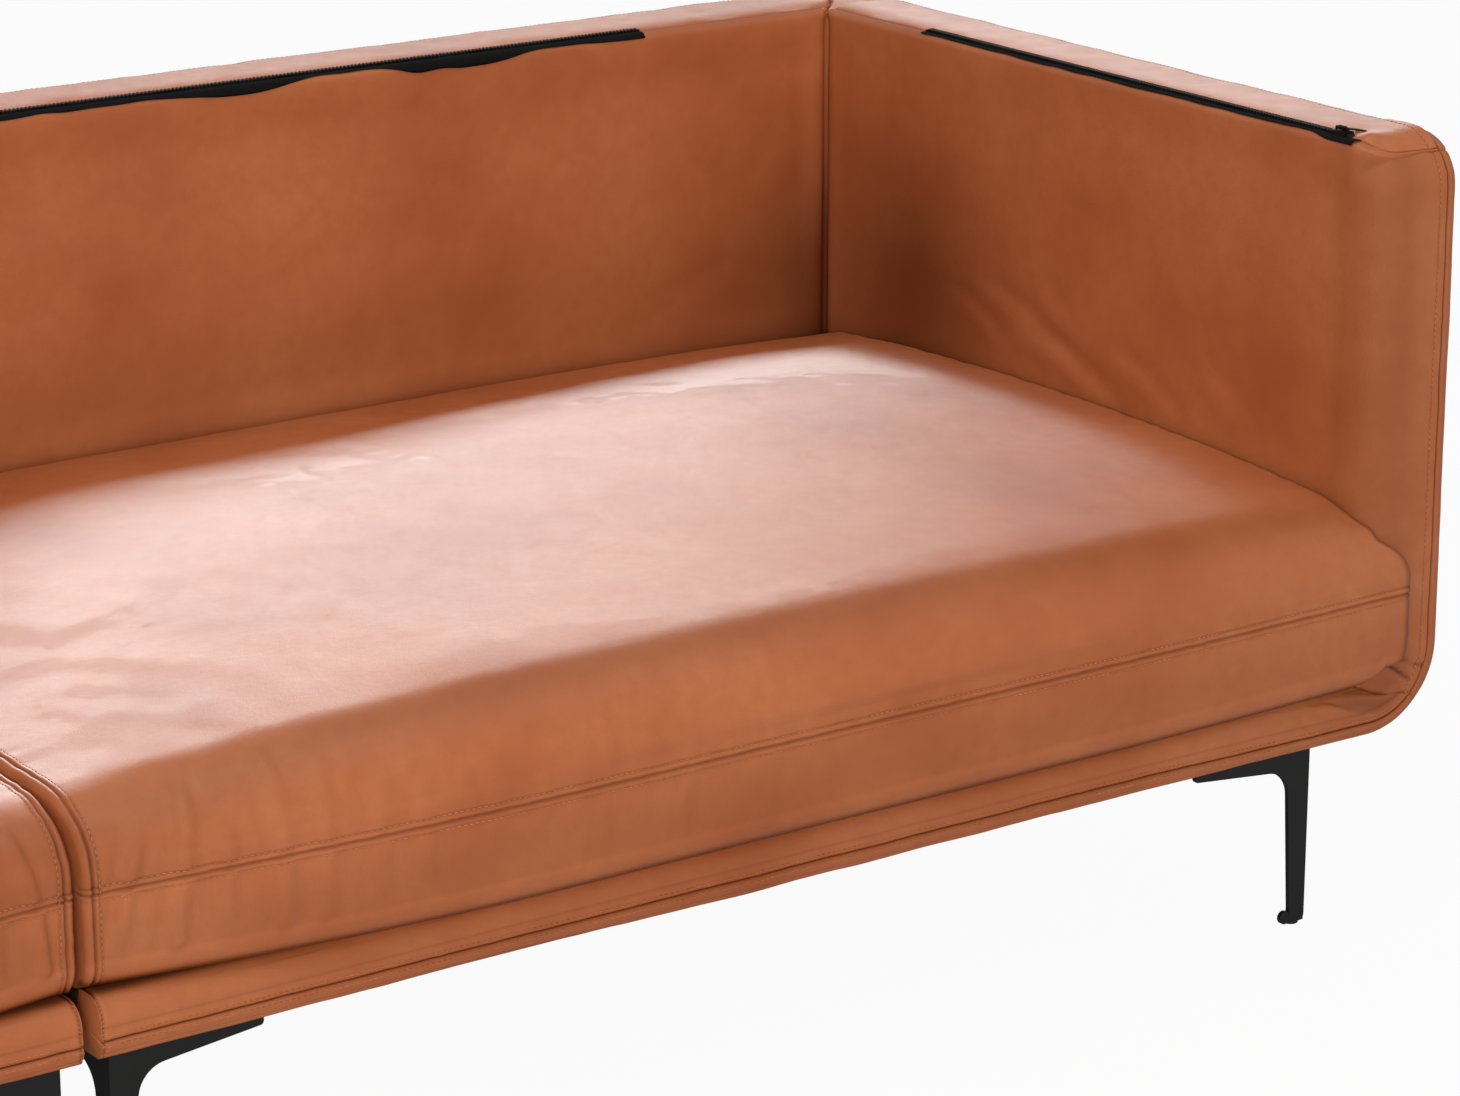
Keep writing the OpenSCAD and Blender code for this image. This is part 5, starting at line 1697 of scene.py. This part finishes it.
# Backdrops of the bands: bearings from and to, and power per square metre
BAND_SHEEN = {"arm": (33.0, 56.0, 12.5), "back": (18.0, 46.0, 9.0)}
# Flags inside the back and the arm, which hold the seat's backdrop light off: the height of their
# foot, of their top at the back, in the corner and at the arm's front, and the X where the top bends
FLAG_FOOT, FLAG_BACK, FLAG_CORNER, FLAG_ARM, FLAG_BEND = 0.39, 0.492, 0.446, 0.440, 0.5


def linked(name, objects):
    """A collection that a lamp's light linking can name."""
    group = bpy.data.collections.new(name)
    for obj in objects:
        group.objects.link(obj)
    return group


def flag(name, corners):
    """A studio flag that only holds back the backdrop's light."""
    obj = quad_object(name, corners, MATERIALS["board"])
    for ray in ("camera", "diffuse", "glossy", "transmission"):
        setattr(obj, f"visible_{ray}", False)
    return obj


def backdrop(name, start, end, top, power, receivers):
    """A strip of backdrop between two bearings, which lights only the receivers."""
    low, high = (math.tan(math.radians(v)) * SHEEN_AWAY for v in (SHEEN_LOW, top))
    middle, half = math.radians((start + end) / 2), math.radians((end - start) / 2)
    way = (SHEEN_AWAY * math.sin(middle), SHEEN_AWAY * math.cos(middle), (low + high) / 2)
    place = tuple(a + w for a, w in zip(SHEEN_AIM, way))
    size = (2 * SHEEN_AWAY * math.tan(half), high - low)
    obj = lamp(name, place, SHEEN_AIM, size, power * size[0] * size[1])
    obj.light_linking.receiver_collection = receivers
    obj.visible_diffuse = False
    return obj.light_linking


def sheen_lamps():
    """The backdrops, each of which lights only the cushions or the bands of one kind."""
    shown = [o for o in bpy.context.scene.objects if o.type == "MESH"]
    seats = [o for o in shown if o.name.startswith("seat_cushion_leather")]
    arms = [o for o in shown if o.name.startswith("arm_top_band")]
    bands = [o for o in shown if o.name.startswith(("back_top_band", "corner_band"))]
    y, x, front = (Y_BACK + 8) * MM, (X_ARM + 8) * MM, Y_FRONT * MM + 0.06
    foot, bend = FLAG_FOOT, FLAG_BEND
    corner = (x, y, FLAG_CORNER)
    flags = [flag("flag_back", [(-x, y, foot), (bend, y, foot), (bend, y, FLAG_BACK), (-x, y, FLAG_BACK)]),
             flag("flag_corner", [(bend, y, foot), (x, y, foot), corner, (bend, y, FLAG_BACK)]),
             flag("flag_arm", [(x, front, foot), (x, y, foot), corner, (x, front, FLAG_ARM)])]
    seat_group = linked("sheen_seats", seats)
    blockers = linked("sheen_blockers", seats + flags)
    for i, (start, end, top, share) in enumerate(SHEEN_STRIPS):
        linking = backdrop(f"sheen_seat_{i}", start, end, top, SHEEN_SEAT * share, seat_group)
        linking.blocker_collection = blockers
    for name, objects in (("arm", arms), ("back", bands)):
        start, end, power = BAND_SHEEN[name]
        backdrop(f"sheen_{name}", start, end, SHEEN_TOP, power, linked(f"sheen_{name}s", objects))


# Place in metres, angles in degrees and focal length in millimetres, fitted to the photograph
CAMERA_AT = (-1.4419, -3.30315, 1.54316)
AZIMUTH, PITCH, LENS = 35.1465, 17.058, 114.577


def camera():
    data = bpy.data.cameras.new("camera")
    data.lens = LENS
    data.sensor_width = 36.0
    data.sensor_fit = "HORIZONTAL"
    data.clip_end = 60.0
    obj = bpy.data.objects.new("camera", data)
    obj.location = CAMERA_AT
    obj.rotation_euler = (math.radians(90 - PITCH), 0, -math.radians(AZIMUTH))
    bpy.context.scene.collection.objects.link(obj)
    bpy.context.scene.camera = obj


bpy.context.scene.view_settings.view_transform = "Standard"
camera()
for side, k in SIDES:
    arm_module(side, k)
    back_module(side, k)
    cushion_module(side, k)
    zips(side, k)
    webbing(side, k)
    dust_sheet(side, k)
    legs(side, k)
dress_nodes()
stage()
world()
sheen_lamps()
lamp("key_front", *KEY_LAMP).visible_glossy = False
lamp("top", *TOP_LAMP)
